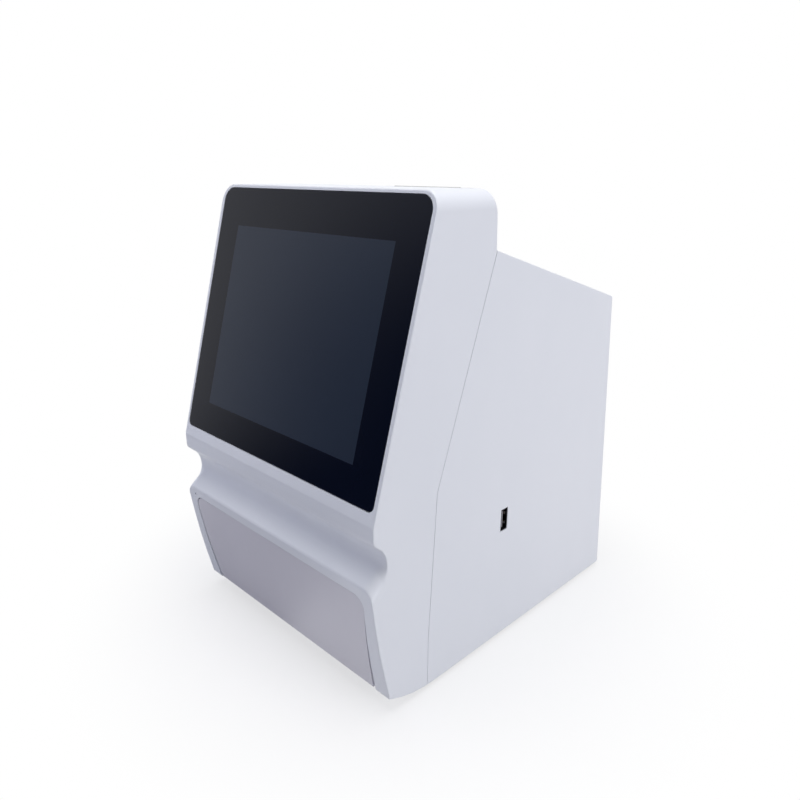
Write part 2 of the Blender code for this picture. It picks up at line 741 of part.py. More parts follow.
def lofted(rows, half, widest):
    """A solid across the body whose sections draw in towards both sides."""
    depths = [widest * (1 - math.sin(math.pi / 2 * k / FILLET_STEPS)) for k in range(FILLET_STEPS + 1)]
    stations = [(-half + depth, depth) for depth in reversed(depths)]
    stations += [(half - depth, depth) for depth in depths]
    bm = bmesh.new()
    rings = []
    for x, depth in stations:
        made = []
        for point, inward, edge, pull, radius in rows:
            spot = point + inward * drop(edge, depth) + pull * drop(radius, depth)
            made.append(bm.verts.new((x, spot.x, spot.y)))
        rings.append(made)
    for near, far in zip(rings, rings[1:]):
        for i in range(len(rows)):
            bm.faces.new((near[i - 1], near[i], far[i], far[i - 1]))
    bm.faces.new(rings[0])
    bm.faces.new(rings[-1])
    return bm


def body_solid():
    rows = profile_rows(CORNERS, BELLIES, SOFT_RADIUS, LIP_SOFT_RADIUS, EDGE_RADIUS)
    return lofted(rows, HALF, SOFT_RADIUS)


def cavity_solid():
    walls = inset([(*corner[:2], 0, 0) for corner in CORNERS], WALLS)
    soft = SOFT_RADIUS - SHELL_WALL
    rows = profile_rows(walls, {}, soft, LIP_SOFT_RADIUS - SHELL_WALL, 0)
    return lofted(rows, HALF - SHELL_WALL, soft)


FAR = BODY_DEPTH
SEAM_GAP = FIT_GAP / 2
SEAM = [
    (FRONT_Y + SEAM_SETBACK, -OVERRUN),
    (FRONT_Y + SEAM_SETBACK, SEAM_STRAIGHT_HEIGHT),
    (FRONT_Y + SEAM_KNEE_SETBACK, SEAM_KNEE_HEIGHT),
    (STEP_FOOT_Y, STEP_FOOT_HEIGHT),
]


def seam_line(shift):
    return [(y + shift, z) for y, z in SEAM]


def seam_y(z):
    """Where the seam runs at a height."""
    for (y0, z0), (y1, z1) in zip(SEAM, SEAM[1:]):
        if z <= z1:
            return y0 + (y1 - y0) * (z - z0) / (z1 - z0)
    return SEAM[-1][0]


def behind_seam():
    line = seam_line(-SEAM_GAP)
    line[-1] = (line[-1][0], line[-1][1] + FIT_GAP)
    outline = line + [(FAR, STEP_FOOT_HEIGHT + FIT_GAP), (FAR, -OVERRUN)]
    return outline_solid(outline, "X", -HALF - OVERRUN, HALF + OVERRUN)


def ahead_of_seam():
    line = seam_line(SEAM_GAP)
    top = BODY_HEIGHT + OVERRUN
    outline = line + [(line[-1][0], top), (-FAR, top), (-FAR, -OVERRUN)]
    return outline_solid(outline, "X", -HALF - OVERRUN, HALF + OVERRUN)


# Drawer front: a tapered panel that follows the lower front's belly

def panel_outline(gap):
    """The drawer front seen from the front, drawn in by a gap at its top and sides."""
    top, foot = PANEL_TOP_HEIGHT - gap, PANEL_FOOT_HEIGHT
    corners = [
        (-PANEL_FOOT_HALF + gap, foot, 0, 0),
        (PANEL_FOOT_HALF - gap, foot, 0, 0),
        (PANEL_TOP_HALF - gap, top, PANEL_TOP_RADIUS, GROOVE_STEPS),
        (-PANEL_TOP_HALF + gap, top, PANEL_TOP_RADIUS, GROOVE_STEPS),
    ]
    return rounded(corners)


def front_line(depth):
    """The belly of the lower front, sunk by a depth, from its lip to its toe."""
    shifted = inset([(*corner[:2], 0, 0) for corner in CORNERS], [depth] * len(CORNERS))
    lip, toe = shifted[LIP][:2], shifted[TOE][:2]
    return [lip] + bulged(lip, toe, FRONT_BELLY, 2 * BELLY_STEPS) + [toe]


def panel_recess():
    """Cutter for the drawer front's seat: its outline, back to the seat's floor."""
    outline = panel_outline(0)
    outline[0] = (outline[0][0], -OVERRUN)
    outline[1] = (outline[1][0], -OVERRUN)
    made = put("panel_recess", outline_solid(outline, "Y", -FAR, FRONT_Y + 2 * KEEL_SETBACK), cutter=True)
    floor = front_line(RECESS_DEPTH)
    lip, toe = floor[0], floor[-1]
    slope = (toe[0] - lip[0]) / (toe[1] - lip[1])
    band = [(lip[0] + OVERRUN * slope, lip[1] + OVERRUN)] + floor
    band += [(toe[0] - OVERRUN * slope, toe[1] - OVERRUN), (-FAR, toe[1] - OVERRUN), (-FAR, lip[1] + OVERRUN)]
    keep = put("panel_band", outline_solid(band, "X", -HALF, HALF), cutter=True)
    boolean(made, keep, "INTERSECT")
    return made


def drawer_front():
    made = part("drawer_front", outline_solid(panel_outline(PANEL_GAP), "Y", -FAR, 0), PANEL_WHITE)
    outer = front_line(PANEL_SINK)
    inner = front_line(PANEL_SINK + PANEL_THICKNESS)
    band = put("panel_skin", outline_solid(outer + inner[::-1], "X", -HALF, HALF), cutter=True)
    boolean(made, band, "INTERSECT")
    pad_front = front_y(PAD_FOOT) + PANEL_SINK + PAD_COVER
    join(made, box((-PAD_HALF, pad_front, PAD_FOOT), (PAD_HALF, TRAY_FRONT_Y - FIT_GAP, PAD_TOP)))
    return made


def front_y(z):
    """Where the lower front's surface stands at a height."""
    line = front_line(0)
    for (y0, z0), (y1, z1) in zip(line, line[1:]):
        if z1 <= z <= z0:
            return y0 + (y1 - y0) * (z - z0) / (z1 - z0)
    return line[0][0]


# Frames that lean with the screen and with the rear wall

GLASS_LENGTH = (GLASS_TOP_HEIGHT - GLASS_FOOT_HEIGHT) / math.cos(SCREEN_TILT)
SCREEN_FRAME = frame_at("screen_frame", (0, screen_y(GLASS_FOOT_HEIGHT), GLASS_FOOT_HEIGHT), -SCREEN_TILT)
REAR_FRAME = frame_at("rear_frame", (0, REAR_Y, FOOT_HEIGHT), REAR_LEAN)


def glass_outline(gap):
    half = GLASS_WIDTH / 2 + gap
    corners = [
        (-half, -gap, GLASS_FOOT_RADIUS + gap, GROOVE_STEPS),
        (half, -gap, GLASS_FOOT_RADIUS + gap, GROOVE_STEPS),
        (half, GLASS_LENGTH + gap, GLASS_TOP_RADIUS + gap, GROOVE_STEPS),
        (-half, GLASS_LENGTH + gap, GLASS_TOP_RADIUS + gap, GROOVE_STEPS),
    ]
    return rounded(corners)


DISPLAY_FRONT = GLASS_SINK + GLASS_THICKNESS + FIT_GAP
DISPLAY_BACK = DISPLAY_FRONT + DISPLAY_THICKNESS
DISPLAY_LOW = Vector((-DISPLAY_WIDTH / 2, DISPLAY_FRONT, DISPLAY_RISE))
DISPLAY_HIGH = Vector((DISPLAY_WIDTH / 2, DISPLAY_BACK, DISPLAY_RISE + DISPLAY_HEIGHT))


def widened(low, high, sides, ahead=0.0, behind=0.0):
    """A box grown to its sides, and ahead and behind along Y."""
    grow = Vector((sides, 0, sides))
    return low - grow - Vector((0, ahead, 0)), high + grow + Vector((0, behind, 0))


def screen_parts():
    glass = outline_solid(glass_outline(0), "Y", GLASS_SINK, GLASS_SINK + GLASS_THICKNESS)
    part("cover_glass", glass, GLASS, SCREEN_FRAME)
    part("display_module", box(DISPLAY_LOW, DISPLAY_HIGH), SCREEN, SCREEN_FRAME)
    ledge = SCREEN_WALL + FIT_GAP
    back = DISPLAY_BACK + FIT_GAP + BRACKET_SHEET
    low, high = widened(DISPLAY_LOW, DISPLAY_HIGH, FIT_GAP + BRACKET_SHEET)
    low.y, high.y = ledge, back
    bracket = part("display_bracket", box(low, high), STEEL, SCREEN_FRAME)
    flange_low, flange_high = widened(low, high, BRACKET_FLANGE)
    flange_high.y = ledge + BRACKET_SHEET
    join(bracket, box(flange_low, flange_high), SCREEN_FRAME)
    pocket_low, pocket_high = widened(DISPLAY_LOW, DISPLAY_HIGH, FIT_GAP, OVERRUN, FIT_GAP)
    cut(bracket, box(pocket_low, pocket_high), SCREEN_FRAME)
    board_y = back + FIT_GAP
    rise = DISPLAY_RISE + DISPLAY_HEIGHT / 2 - SCREEN_BOARD_HEIGHT / 2
    half = SCREEN_BOARD_WIDTH / 2
    board = part("screen_board", box((-half, board_y, rise),
                 (half, board_y + BOARD_THICKNESS, rise + SCREEN_BOARD_HEIGHT)), BOARD, SCREEN_FRAME)
    chip_front = board_y + BOARD_THICKNESS / 2
    chip_back = board_y + BOARD_THICKNESS + CHIP_HEIGHT
    middle = rise + SCREEN_BOARD_HEIGHT / 2
    for x in (-half / 2, half / 2):
        join(board, box((x - CHIP_SIDE / 2, chip_front, middle - CHIP_SIDE / 2),
                        (x + CHIP_SIDE / 2, chip_back, middle + CHIP_SIDE / 2)), SCREEN_FRAME)


# Printer places that the front cover's opening needs

LID_AXIS_Z = BODY_HEIGHT - LID_AXIS_DROP
LID_FRONT_Y = LID_AXIS_Y - LID_AXIS_DROP


def front_cover():
    made = part("front_cover", body_solid(), WHITE)
    boolean(made, put("cover_cavity", cavity_solid(), cutter=True), "DIFFERENCE")
    cut(made, behind_seam())
    boolean(made, panel_recess(), "DIFFERENCE")
    cut(made, box((-WINDOW_HALF, FRONT_Y - OVERRUN, WINDOW_FOOT),
                  (WINDOW_HALF, CHASSIS_FRONT_Y, WINDOW_TOP)))
    seat = GLASS_SINK + GLASS_THICKNESS + FIT_GAP
    cut(made, outline_solid(glass_outline(FIT_GAP), "Y", -OVERRUN, seat), SCREEN_FRAME)
    low, high = widened(DISPLAY_LOW, DISPLAY_HIGH, FIT_GAP, OVERRUN, OVERRUN)
    cut(made, box(low, high), SCREEN_FRAME)
    cut(made, box((PRINTER_X - LID_HALF - LID_GAP, LID_FRONT_Y - LID_GAP, BODY_HEIGHT - BUCKET_TOP_DROP),
                  (PRINTER_X + LID_HALF + LID_GAP, LID_OPENING_REAR_Y, BODY_HEIGHT + OVERRUN)))
    back = front_y(PINHOLE_HEIGHT) + DRAWER_BULKHEAD
    join(made, rod((PINHOLE_X, back - SHELL_WALL, PINHOLE_HEIGHT), "Y", PLUNGER_GUIDE_RADIUS,
                   PLUNGER_GUIDE_LENGTH + SHELL_WALL, SMALL_SIDES))
    cut(made, rod((PINHOLE_X, FRONT_Y - OVERRUN, PINHOLE_HEIGHT), "Y", PINHOLE_RADIUS,
                  OVERRUN + 2 * DRAWER_BULKHEAD, SMALL_SIDES))
    cut(made, rod((PINHOLE_X, back, PINHOLE_HEIGHT), "Y", PLUNGER_RADIUS + FIT_GAP, OVERRUN, SMALL_SIDES))
    return made


# Rear housing

FLOOR_TOP = FOOT_HEIGHT + FIT_GAP + BASE_SHEET
POST_FOOT = FLOOR_TOP + FIT_GAP
POST_PLACES = [(side * POST_X, y) for side in (-1, 1) for y in (POST_FRONT_Y, POST_REAR_Y)]
INNER_HALF = HALF - SHELL_WALL
USB_CUT = Vector((0, USB_MOUTH_WIDTH / 2 + USB_CUT_MARGIN, USB_MOUTH_HEIGHT / 2 + USB_CUT_MARGIN))
USB_BOARD_Y = USB_Y + USB_MOUTH_WIDTH / 2 + FIT_GAP


def lap_strip(side, housing):
    """The inner lip that reaches under the front cover along one side."""
    foot, top = POST_FOOT + POST_SIDE / 2, STEP_FOOT_HEIGHT - 2 * SOFT_RADIUS
    heights = [foot, SEAM_STRAIGHT_HEIGHT, SEAM_KNEE_HEIGHT, top]
    inner = INNER_HALF - FIT_GAP - LAP_WALL

    def strip(ahead, behind, inner, outer):
        line = [(seam_y(z) + ahead, z) for z in heights]
        line += [(seam_y(z) + behind, z) for z in reversed(heights)]
        near, far = sorted((side * inner, side * outer))
        return outline_solid(line, "X", near, far)

    root = join(housing, strip(SEAM_GAP + FIT_GAP, LAP_DEPTH, inner - LAP_BITE, INNER_HALF + LAP_BITE))
    tongue = put("lap_tongue", strip(-LAP_DEPTH, LAP_DEPTH / 2, inner, INNER_HALF - FIT_GAP), cutter=True)
    boolean(root, tongue, "UNION")


def rear_housing():
    made = part("rear_housing", body_solid(), WHITE)
    boolean(made, put("housing_cavity", cavity_solid(), cutter=True), "DIFFERENCE")
    cut(made, ahead_of_seam())
    cut(made, box((-INNER_HALF, -FAR, -OVERRUN), (INNER_HALF, REAR_Y - REAR_WALL, POST_HEIGHT)))
    window = PANEL_REAR_HALF - REAR_FLANGE
    cut(made, box((-window, -OVERRUN, PANEL_REAR_FOOT + REAR_FLANGE),
                  (window, OVERRUN, PANEL_REAR_TOP - REAR_FLANGE)), REAR_FRAME)
    seat = PANEL_REAR_HALF + FIT_GAP
    cut(made, box((-seat, -REAR_SINK - REAR_SHEET - FIT_GAP, PANEL_REAR_FOOT - FIT_GAP),
                  (seat, OVERRUN, PANEL_REAR_TOP + FIT_GAP)), REAR_FRAME)
    for x, y in POST_PLACES:
        side = math.copysign(1, x)
        inner, outer = x - side * POST_SIDE / 2, side * (INNER_HALF + LAP_BITE)
        join(made, box((min(inner, outer), y - POST_SIDE / 2, POST_FOOT),
                       (max(inner, outer), y + POST_SIDE / 2, POST_FOOT + POST_HEIGHT)))
    for side in (-1, 1):
        lap_strip(side, made)
    usb = Vector((HALF, USB_Y, USB_HEIGHT))
    reach = Vector((OVERRUN / 2, 0, 0))
    for rise in (-1, 1):
        foot = USB_HEIGHT + rise * (USB_BOARD_HEIGHT - USB_ARM_HEIGHT) / 2 - USB_ARM_HEIGHT / 2
        join(made, box((HALF - SHELL_WALL - USB_ARM_HEIGHT, USB_BOARD_Y + BOARD_THICKNESS + FIT_GAP, foot),
                       (INNER_HALF + LAP_BITE, USB_BOARD_Y + BOARD_THICKNESS + FIT_GAP + SHELL_WALL,
                        foot + USB_ARM_HEIGHT)))
    cut(made, box(usb - reach - USB_CUT, usb + reach + USB_CUT))
    for x, y in POST_PLACES:
        cut(made, rod((x, y, -OVERRUN), "Z", SCREW_RADIUS + HOLE_CLEARANCE,
                      OVERRUN + FLOOR_TOP + SCREW_LENGTH, SMALL_SIDES))
    for x, z in panel_screw_places():
        hole = rod((x, -OVERRUN, z), "Y", SCREW_RADIUS + HOLE_CLEARANCE, 2 * OVERRUN, SMALL_SIDES)
        cut(made, hole, REAR_FRAME)
    return made


def panel_screw_places():
    x = PANEL_REAR_HALF - REAR_SCREW_INSET + FIT_GAP
    return [(side * x, z) for side in (-1, 1)
            for z in (PANEL_REAR_FOOT + REAR_SCREW_INSET, PANEL_REAR_TOP - REAR_SCREW_INSET)]


def screw(name, head_place, axis, way, frame=None):
    """A pan-head screw: its head's under face is at head_place and its shank runs along way."""
    lift = {"Z": (0, 0, 1), "Y": (0, 1, 0)}[axis]
    shift = Vector(lift) * (-SCREW_HEAD if way > 0 else 0)
    made = part(name, rod(Vector(head_place) + shift, axis, SCREW_HEAD_RADIUS, SCREW_HEAD, SMALL_SIDES),
                BRIGHT, frame)
    start = Vector(lift) * (-SCREW_HEAD / 2 if way > 0 else -SCREW_LENGTH)
    shank = rod(Vector(head_place) + start, axis, SCREW_RADIUS, SCREW_LENGTH + SCREW_HEAD / 2, SMALL_SIDES)
    join(made, shank, frame)
    outer = Vector(head_place) + Vector(lift) * (-SCREW_HEAD if way > 0 else SCREW_HEAD)
    reach = Vector((SCREW_HEAD_RADIUS / 2, SCREW_SLOT / 2, SCREW_SLOT_DEPTH))
    if axis == "Y":
        reach = Vector((SCREW_HEAD_RADIUS / 2, SCREW_SLOT_DEPTH, SCREW_SLOT / 2))
    cut(made, box(outer - reach, outer + reach), frame)
    return made


def base_parts():
    half = INNER_HALF - 2 * FIT_GAP
    front, rear = FRONT_Y + SEAM_SETBACK + 2 * FIT_GAP, REAR_Y - REAR_WALL - 3 * FIT_GAP
    plate = part("base_plate", box((-half, front, FOOT_HEIGHT + FIT_GAP), (half, rear, FLOOR_TOP)), STEEL)
    for number, (x, y) in enumerate(POST_PLACES, 1):
        cut(plate, rod((x, y, -OVERRUN), "Z", SCREW_RADIUS + HOLE_CLEARANCE, 2 * OVERRUN, SMALL_SIDES))
        screw(f"base_screw_{number}", (x, y, FOOT_HEIGHT), "Z", 1)
    for i in range(SOUND_SLOT_COUNT):
        x = SPEAKER_X + (i - (SOUND_SLOT_COUNT - 1) / 2) * SOUND_SLOT_PITCH
        cut(plate, box((x - SOUND_SLOT_WIDTH / 2, SPEAKER_Y - SOUND_SLOT_LENGTH / 2, 0),
                       (x + SOUND_SLOT_WIDTH / 2, SPEAKER_Y + SOUND_SLOT_LENGTH / 2, OVERRUN)))
    names = {(-1, FOOT_FRONT_Y): "foot_front_left", (1, FOOT_FRONT_Y): "foot_front_right",
             (-1, FOOT_REAR_Y): "foot_rear_left", (1, FOOT_REAR_Y): "foot_rear_right"}
    for (side, y), name in names.items():
        foot = part(name, rod((side * FOOT_X, y, 0), "Z", FOOT_RADIUS - FOOT_CHAMFER, FOOT_CHAMFER,
                              ROUND_SIDES, FOOT_RADIUS), RUBBER)
        join(foot, rod((side * FOOT_X, y, FOOT_CHAMFER / 2), "Z", FOOT_RADIUS - FOOT_CHAMFER / 2,
                       FOOT_HEIGHT - FOOT_CHAMFER / 2, ROUND_SIDES))


# Rear panel, fan and sockets

def rear_box(x, z, width, height, front, back):
    """A box in the rear frame, centred at x and z; front and back are depths inside the rear face."""
    return box((x - width / 2, -back, z - height / 2), (x + width / 2, -front, z + height / 2))


def rear_panel():
    front, back = REAR_SINK, REAR_SINK + REAR_SHEET
    low, high = (-PANEL_REAR_HALF, -back, PANEL_REAR_FOOT), (PANEL_REAR_HALF, -front, PANEL_REAR_TOP)
    made = part("rear_panel", box(low, high), STEEL, REAR_FRAME)
    for i in range(VENT_COUNT):
        z = FAN_RISE + (i - (VENT_COUNT - 1) / 2) * VENT_PITCH
        reach = math.sqrt(FAN_BORE_RADIUS ** 2 - (z - FAN_RISE) ** 2)
        cut(made, rear_box(0, z, 2 * reach, VENT_HEIGHT, -OVERRUN, OVERRUN), REAR_FRAME)
    gap = 2 * FIT_GAP
    holes = [(NETWORK_X, NETWORK_WIDTH, NETWORK_HEIGHT), (INLET_X, INLET_SIDE, INLET_SIDE),
             (SWITCH_X, SWITCH_WIDTH - 2 * SWITCH_BEZEL_LIP, SWITCH_HEIGHT - 2 * SWITCH_BEZEL_LIP)]
    for x, width, height in holes:
        cut(made, rear_box(x, SOCKET_RISE, width + gap, height + gap, -OVERRUN, OVERRUN), REAR_FRAME)
    for number, (x, z) in enumerate(panel_screw_places(), 1):
        hole = rod((x, -OVERRUN, z), "Y", SCREW_RADIUS + HOLE_CLEARANCE, 2 * OVERRUN, SMALL_SIDES)
        cut(made, hole, REAR_FRAME)
        screw(f"panel_screw_{number}", (x, -front + FIT_GAP, z), "Y", -1, REAR_FRAME)


def fan_parts():
    front = REAR_SINK + REAR_SHEET + FIT_GAP
    back = front + FAN_DEPTH
    fan = part("fan_frame", rear_box(0, FAN_RISE, FAN_SIDE, FAN_SIDE, front, back), BLACK, REAR_FRAME)
    cut(fan, rod((0, -back - OVERRUN, FAN_RISE), "Y", FAN_BORE_RADIUS, FAN_DEPTH + 2 * OVERRUN), REAR_FRAME)
    cross = rear_box(0, FAN_RISE, FAN_STRUT, FAN_SIDE - FAN_STRUT / 2, back - FAN_BEARING, back)
    join(fan, cross, REAR_FRAME)
    join(fan, rear_box(0, FAN_RISE, FAN_SIDE - FAN_STRUT / 2, FAN_STRUT, back - FAN_BEARING, back),
         REAR_FRAME)
    join(fan, rod((0, -back, FAN_RISE), "Y", FAN_HUB_RADIUS, FAN_BEARING, SMALL_SIDES), REAR_FRAME)
    hub_back = back - FAN_BEARING - RUNNING_GAP
    hub_front = front + 2 * RUNNING_GAP
    rotor = part("fan_rotor", rod((0, -hub_back, FAN_RISE), "Y", FAN_HUB_RADIUS, hub_back - hub_front), BLACK,
                 REAR_FRAME)
    middle = Vector((0, -(hub_back + hub_front) / 2, FAN_RISE))
    pivot(rotor, middle)
    for i in range(FAN_BLADES):
        blade = box((-FAN_BLADE_THICKNESS / 2, -FAN_BLADE_DEPTH / 2, FAN_HUB_RADIUS / 2),
                    (FAN_BLADE_THICKNESS / 2, FAN_BLADE_DEPTH / 2, FAN_BLADE_RADIUS))
        turn = Matrix.Rotation(math.tau * i / FAN_BLADES, 4, "Y") @ Matrix.Rotation(FAN_BLADE_PITCH, 4, "Z")
        bmesh.ops.transform(blade, matrix=Matrix.Translation(middle) @ turn, verts=blade.verts)
        join(rotor, blade, REAR_FRAME)


def rear_sockets():
    out = REAR_SINK
    network = part("network_socket", rear_box(NETWORK_X, SOCKET_RISE, NETWORK_WIDTH, NETWORK_HEIGHT, out,
                   out + NETWORK_DEPTH), BRIGHT, REAR_FRAME)
    cut(network, rear_box(NETWORK_X, SOCKET_RISE, NETWORK_MOUTH_WIDTH, NETWORK_MOUTH_HEIGHT, -OVERRUN,
                          out + NETWORK_MOUTH_DEPTH), REAR_FRAME)
    inlet_body = rear_box(INLET_X, SOCKET_RISE, INLET_SIDE, INLET_SIDE, out, out + INLET_DEPTH)
    inlet = part("power_inlet", inlet_body, BLACK, REAR_FRAME)
    mouth = (INLET_X, -out - INLET_BORE_DEPTH, SOCKET_RISE)
    cut(inlet, rod(mouth, "Y", INLET_BORE_RADIUS, INLET_BORE_DEPTH + OVERRUN), REAR_FRAME)
    root = (INLET_X, -out - INLET_BORE_DEPTH - INLET_PIN_RADIUS, SOCKET_RISE)
    join(inlet, rod(root, "Y", INLET_PIN_RADIUS, INLET_BORE_DEPTH, SMALL_SIDES), REAR_FRAME)
    lip = -out + FIT_GAP
    frame = part("switch_frame", box((SWITCH_X - SWITCH_WIDTH / 2, lip, SOCKET_RISE - SWITCH_HEIGHT / 2),
                 (SWITCH_X + SWITCH_WIDTH / 2, lip + SWITCH_BEZEL, SOCKET_RISE + SWITCH_HEIGHT / 2)), BLACK,
                 REAR_FRAME)
    join(frame, rear_box(SWITCH_X, SOCKET_RISE, SWITCH_WIDTH - 2 * SWITCH_BEZEL_LIP,
                         SWITCH_HEIGHT - 2 * SWITCH_BEZEL_LIP, -lip - SWITCH_BEZEL / 2, SWITCH_BODY),
         REAR_FRAME)
    cut(frame, rear_box(SWITCH_X, SOCKET_RISE, SWITCH_WELL_WIDTH, SWITCH_WELL_HEIGHT, -OVERRUN,
                        SWITCH_WELL_DEPTH), REAR_FRAME)
    half, side = SWITCH_WELL_WIDTH / 2 - 2 * RUNNING_GAP, SWITCH_WELL_HEIGHT / 2 - RUNNING_GAP
    top = lip + SWITCH_BEZEL
    outline = [(-half, top - ROCKER_DEPTH), (half, top - ROCKER_DEPTH), (half, top + ROCKER_CREST / 2),
               (0, top - ROCKER_CREST / 2), (-half, top + ROCKER_CREST / 2)]
    rocker = outline_solid(outline, "Z", -side, side)
    axis = Vector((0, top - ROCKER_AXIS_DEPTH, 0))
    place = Matrix.Translation(Vector((SWITCH_X, axis.y, SOCKET_RISE)))
    turn = place @ Matrix.Rotation(-ROCKER_TIP, 4, "Z") @ Matrix.Translation(-axis)
    bmesh.ops.transform(rocker, matrix=turn, verts=rocker.verts)
    pivot(part("switch_rocker", rocker, BLACK, REAR_FRAME), place.translation)


# Drawer: chassis, rails, tray, rack and the disc drive

RUNNER_FOOT = TRAY_FOOT + RUNNER_RISE
TRAY_TOP = TRAY_FOOT + TRAY_THICKNESS
RAIL_OUTER = CHASSIS_HALF - CHASSIS_SHEET - FIT_GAP
RAIL_INNER = TRAY_HALF + 2 * RUNNING_GAP
RAIL_MIDDLE = RUNNER_FOOT + RUNNER_HEIGHT / 2
RACK_TOP = TRAY_FOOT - FIT_GAP
RACK_FOOT = RACK_TOP - RACK_HEIGHT


def chassis():
    floor_foot = FLOOR_TOP + FIT_GAP
    outline = [
        (-CHASSIS_HALF, floor_foot), (CHASSIS_HALF, floor_foot), (CHASSIS_HALF, CHASSIS_TOP),
        (CHASSIS_HALF - CHASSIS_SHEET, CHASSIS_TOP),
        (CHASSIS_HALF - CHASSIS_SHEET, floor_foot + CHASSIS_SHEET),
        (-CHASSIS_HALF + CHASSIS_SHEET, floor_foot + CHASSIS_SHEET),
        (-CHASSIS_HALF + CHASSIS_SHEET, CHASSIS_TOP),
        (-CHASSIS_HALF, CHASSIS_TOP),
    ]
    part("drawer_chassis", outline_solid(outline, "Y", CHASSIS_FRONT_Y, RAIL_REAR_Y), STEEL)


def rails():
    slot = RUNNER_HEIGHT / 2 + FIT_GAP
    depth = TRAY_HALF + RUNNER_REACH + 2 * RUNNING_GAP
    foot, top = RAIL_MIDDLE - RAIL_HEIGHT / 2, RAIL_MIDDLE + RAIL_HEIGHT / 2
    outline = [(RAIL_INNER, foot), (RAIL_OUTER, foot), (RAIL_OUTER, top), (RAIL_INNER, top),
               (RAIL_INNER, RAIL_MIDDLE + slot), (depth, RAIL_MIDDLE + slot), (depth, RAIL_MIDDLE - slot),
               (RAIL_INNER, RAIL_MIDDLE - slot)]
    for side, name in ((-1, "drawer_rail_left"), (1, "drawer_rail_right")):
        points = [(side * x, z) for x, z in outline]
        part(name, outline_solid(points, "Y", RAIL_FRONT_Y, RAIL_REAR_Y), BRIGHT)


def tray():
    slab = box((-TRAY_HALF, TRAY_FRONT_Y, TRAY_FOOT), (TRAY_HALF, TRAY_REAR_Y, TRAY_TOP))
    made = part("drawer_tray", slab, DARK)
    pocket_foot = TRAY_FOOT + TRAY_FLOOR
    cut(made, rod((0, DISC_Y, pocket_foot), "Z", DISC_POCKET_RADIUS, TRAY_THICKNESS, 2 * ROUND_SIDES))
    for side in (-1, 1):
        cut(made, rod((side * DISC_POCKET_RADIUS, DISC_Y, pocket_foot), "Z", DISC_FINGER_RADIUS,
                      TRAY_THICKNESS))
    cut(made, rod((0, DISC_Y, TRAY_FOOT - OVERRUN), "Z", HUB_HOLE_RADIUS, 2 * OVERRUN))
    cut(made, box((-TRAY_HALF - OVERRUN, TRAY_STEP_Y, TRAY_FOOT + TRAY_STEP_THICKNESS),
                  (TRAY_HALF + OVERRUN, TRAY_REAR_Y + OVERRUN, TRAY_TOP + OVERRUN)))
    reach = TRAY_HALF + RUNNER_REACH
    join(made, box((TRAY_HALF - RUNNER_REACH / 2, RAIL_FRONT_Y, RUNNER_FOOT),
                   (reach, TRAY_REAR_Y, RUNNER_FOOT + RUNNER_HEIGHT)))
    join(made, box((-reach, RAIL_FRONT_Y, RUNNER_FOOT),
                   (-TRAY_HALF + RUNNER_REACH / 2, TRAY_REAR_Y, RUNNER_FOOT + RUNNER_HEIGHT)))


def rack():
    """Straight rack under the tray; its teeth face -X towards the pinion."""
    pitch = math.pi * GEAR_MODULE
    tip, root = ADDENDUM_SHARE * GEAR_MODULE, DEDENDUM_SHARE * GEAR_MODULE
    half_tooth = pitch / 4 - GEAR_BACKLASH / 2
    at_tip = half_tooth - tip * math.tan(PRESSURE_ANGLE)
    at_root = half_tooth + root * math.tan(PRESSURE_ANGLE)
    first = math.ceil((RACK_FRONT_Y + at_root - PINION_Y) / pitch - 0.5)
    last = math.floor((TRAY_REAR_Y - at_root - PINION_Y) / pitch - 0.5)
    back = RACK_PITCH_X + RACK_BACK
    points = [(back, TRAY_REAR_Y), (back, RACK_FRONT_Y), (RACK_PITCH_X + root, RACK_FRONT_Y)]
    for i in range(first, last + 1):
        y = PINION_Y + (i + 0.5) * pitch
        points += [(RACK_PITCH_X + root, y - at_root), (RACK_PITCH_X - tip, y - at_tip),
                   (RACK_PITCH_X - tip, y + at_tip), (RACK_PITCH_X + root, y + at_root)]
    points.append((RACK_PITCH_X + root, TRAY_REAR_Y))
    part("drawer_rack", outline_solid(points, "Z", RACK_FOOT, RACK_TOP), ACETAL)


def gear_outline(module, teeth, phase):
    """Involute spur gear outline about the origin, with a tooth centred on the phase angle."""
    pitch = module * teeth / 2
    base = pitch * math.cos(PRESSURE_ANGLE)
    outer, root = pitch + ADDENDUM_SHARE * module, pitch - DEDENDUM_SHARE * module

    def spread(radius):
        lean = math.acos(min(1, base / radius))
        return math.tan(lean) - lean

    half_tooth = (math.pi / 2 * module - GEAR_BACKLASH * module / GEAR_MODULE) / 2 / pitch
    points = []
    start = max(base, root)
    for i in range(teeth):
        middle = phase + math.tau * i / teeth
        flank = []
        for step in range(FLANK_STEPS + 1):
            radius = start + (outer - start) * step / FLANK_STEPS
            flank.append((radius, half_tooth + spread(pitch) - spread(radius)))
        side = [(root, flank[0][1])] + flank if root < start else flank
        for radius, half in side:
            points.append((radius * math.cos(middle - half), radius * math.sin(middle - half)))
        for radius, half in reversed(side):
            points.append((radius * math.cos(middle + half), radius * math.sin(middle + half)))
    return points


PINION_X = RACK_PITCH_X - GEAR_MODULE * PINION_TEETH / 2


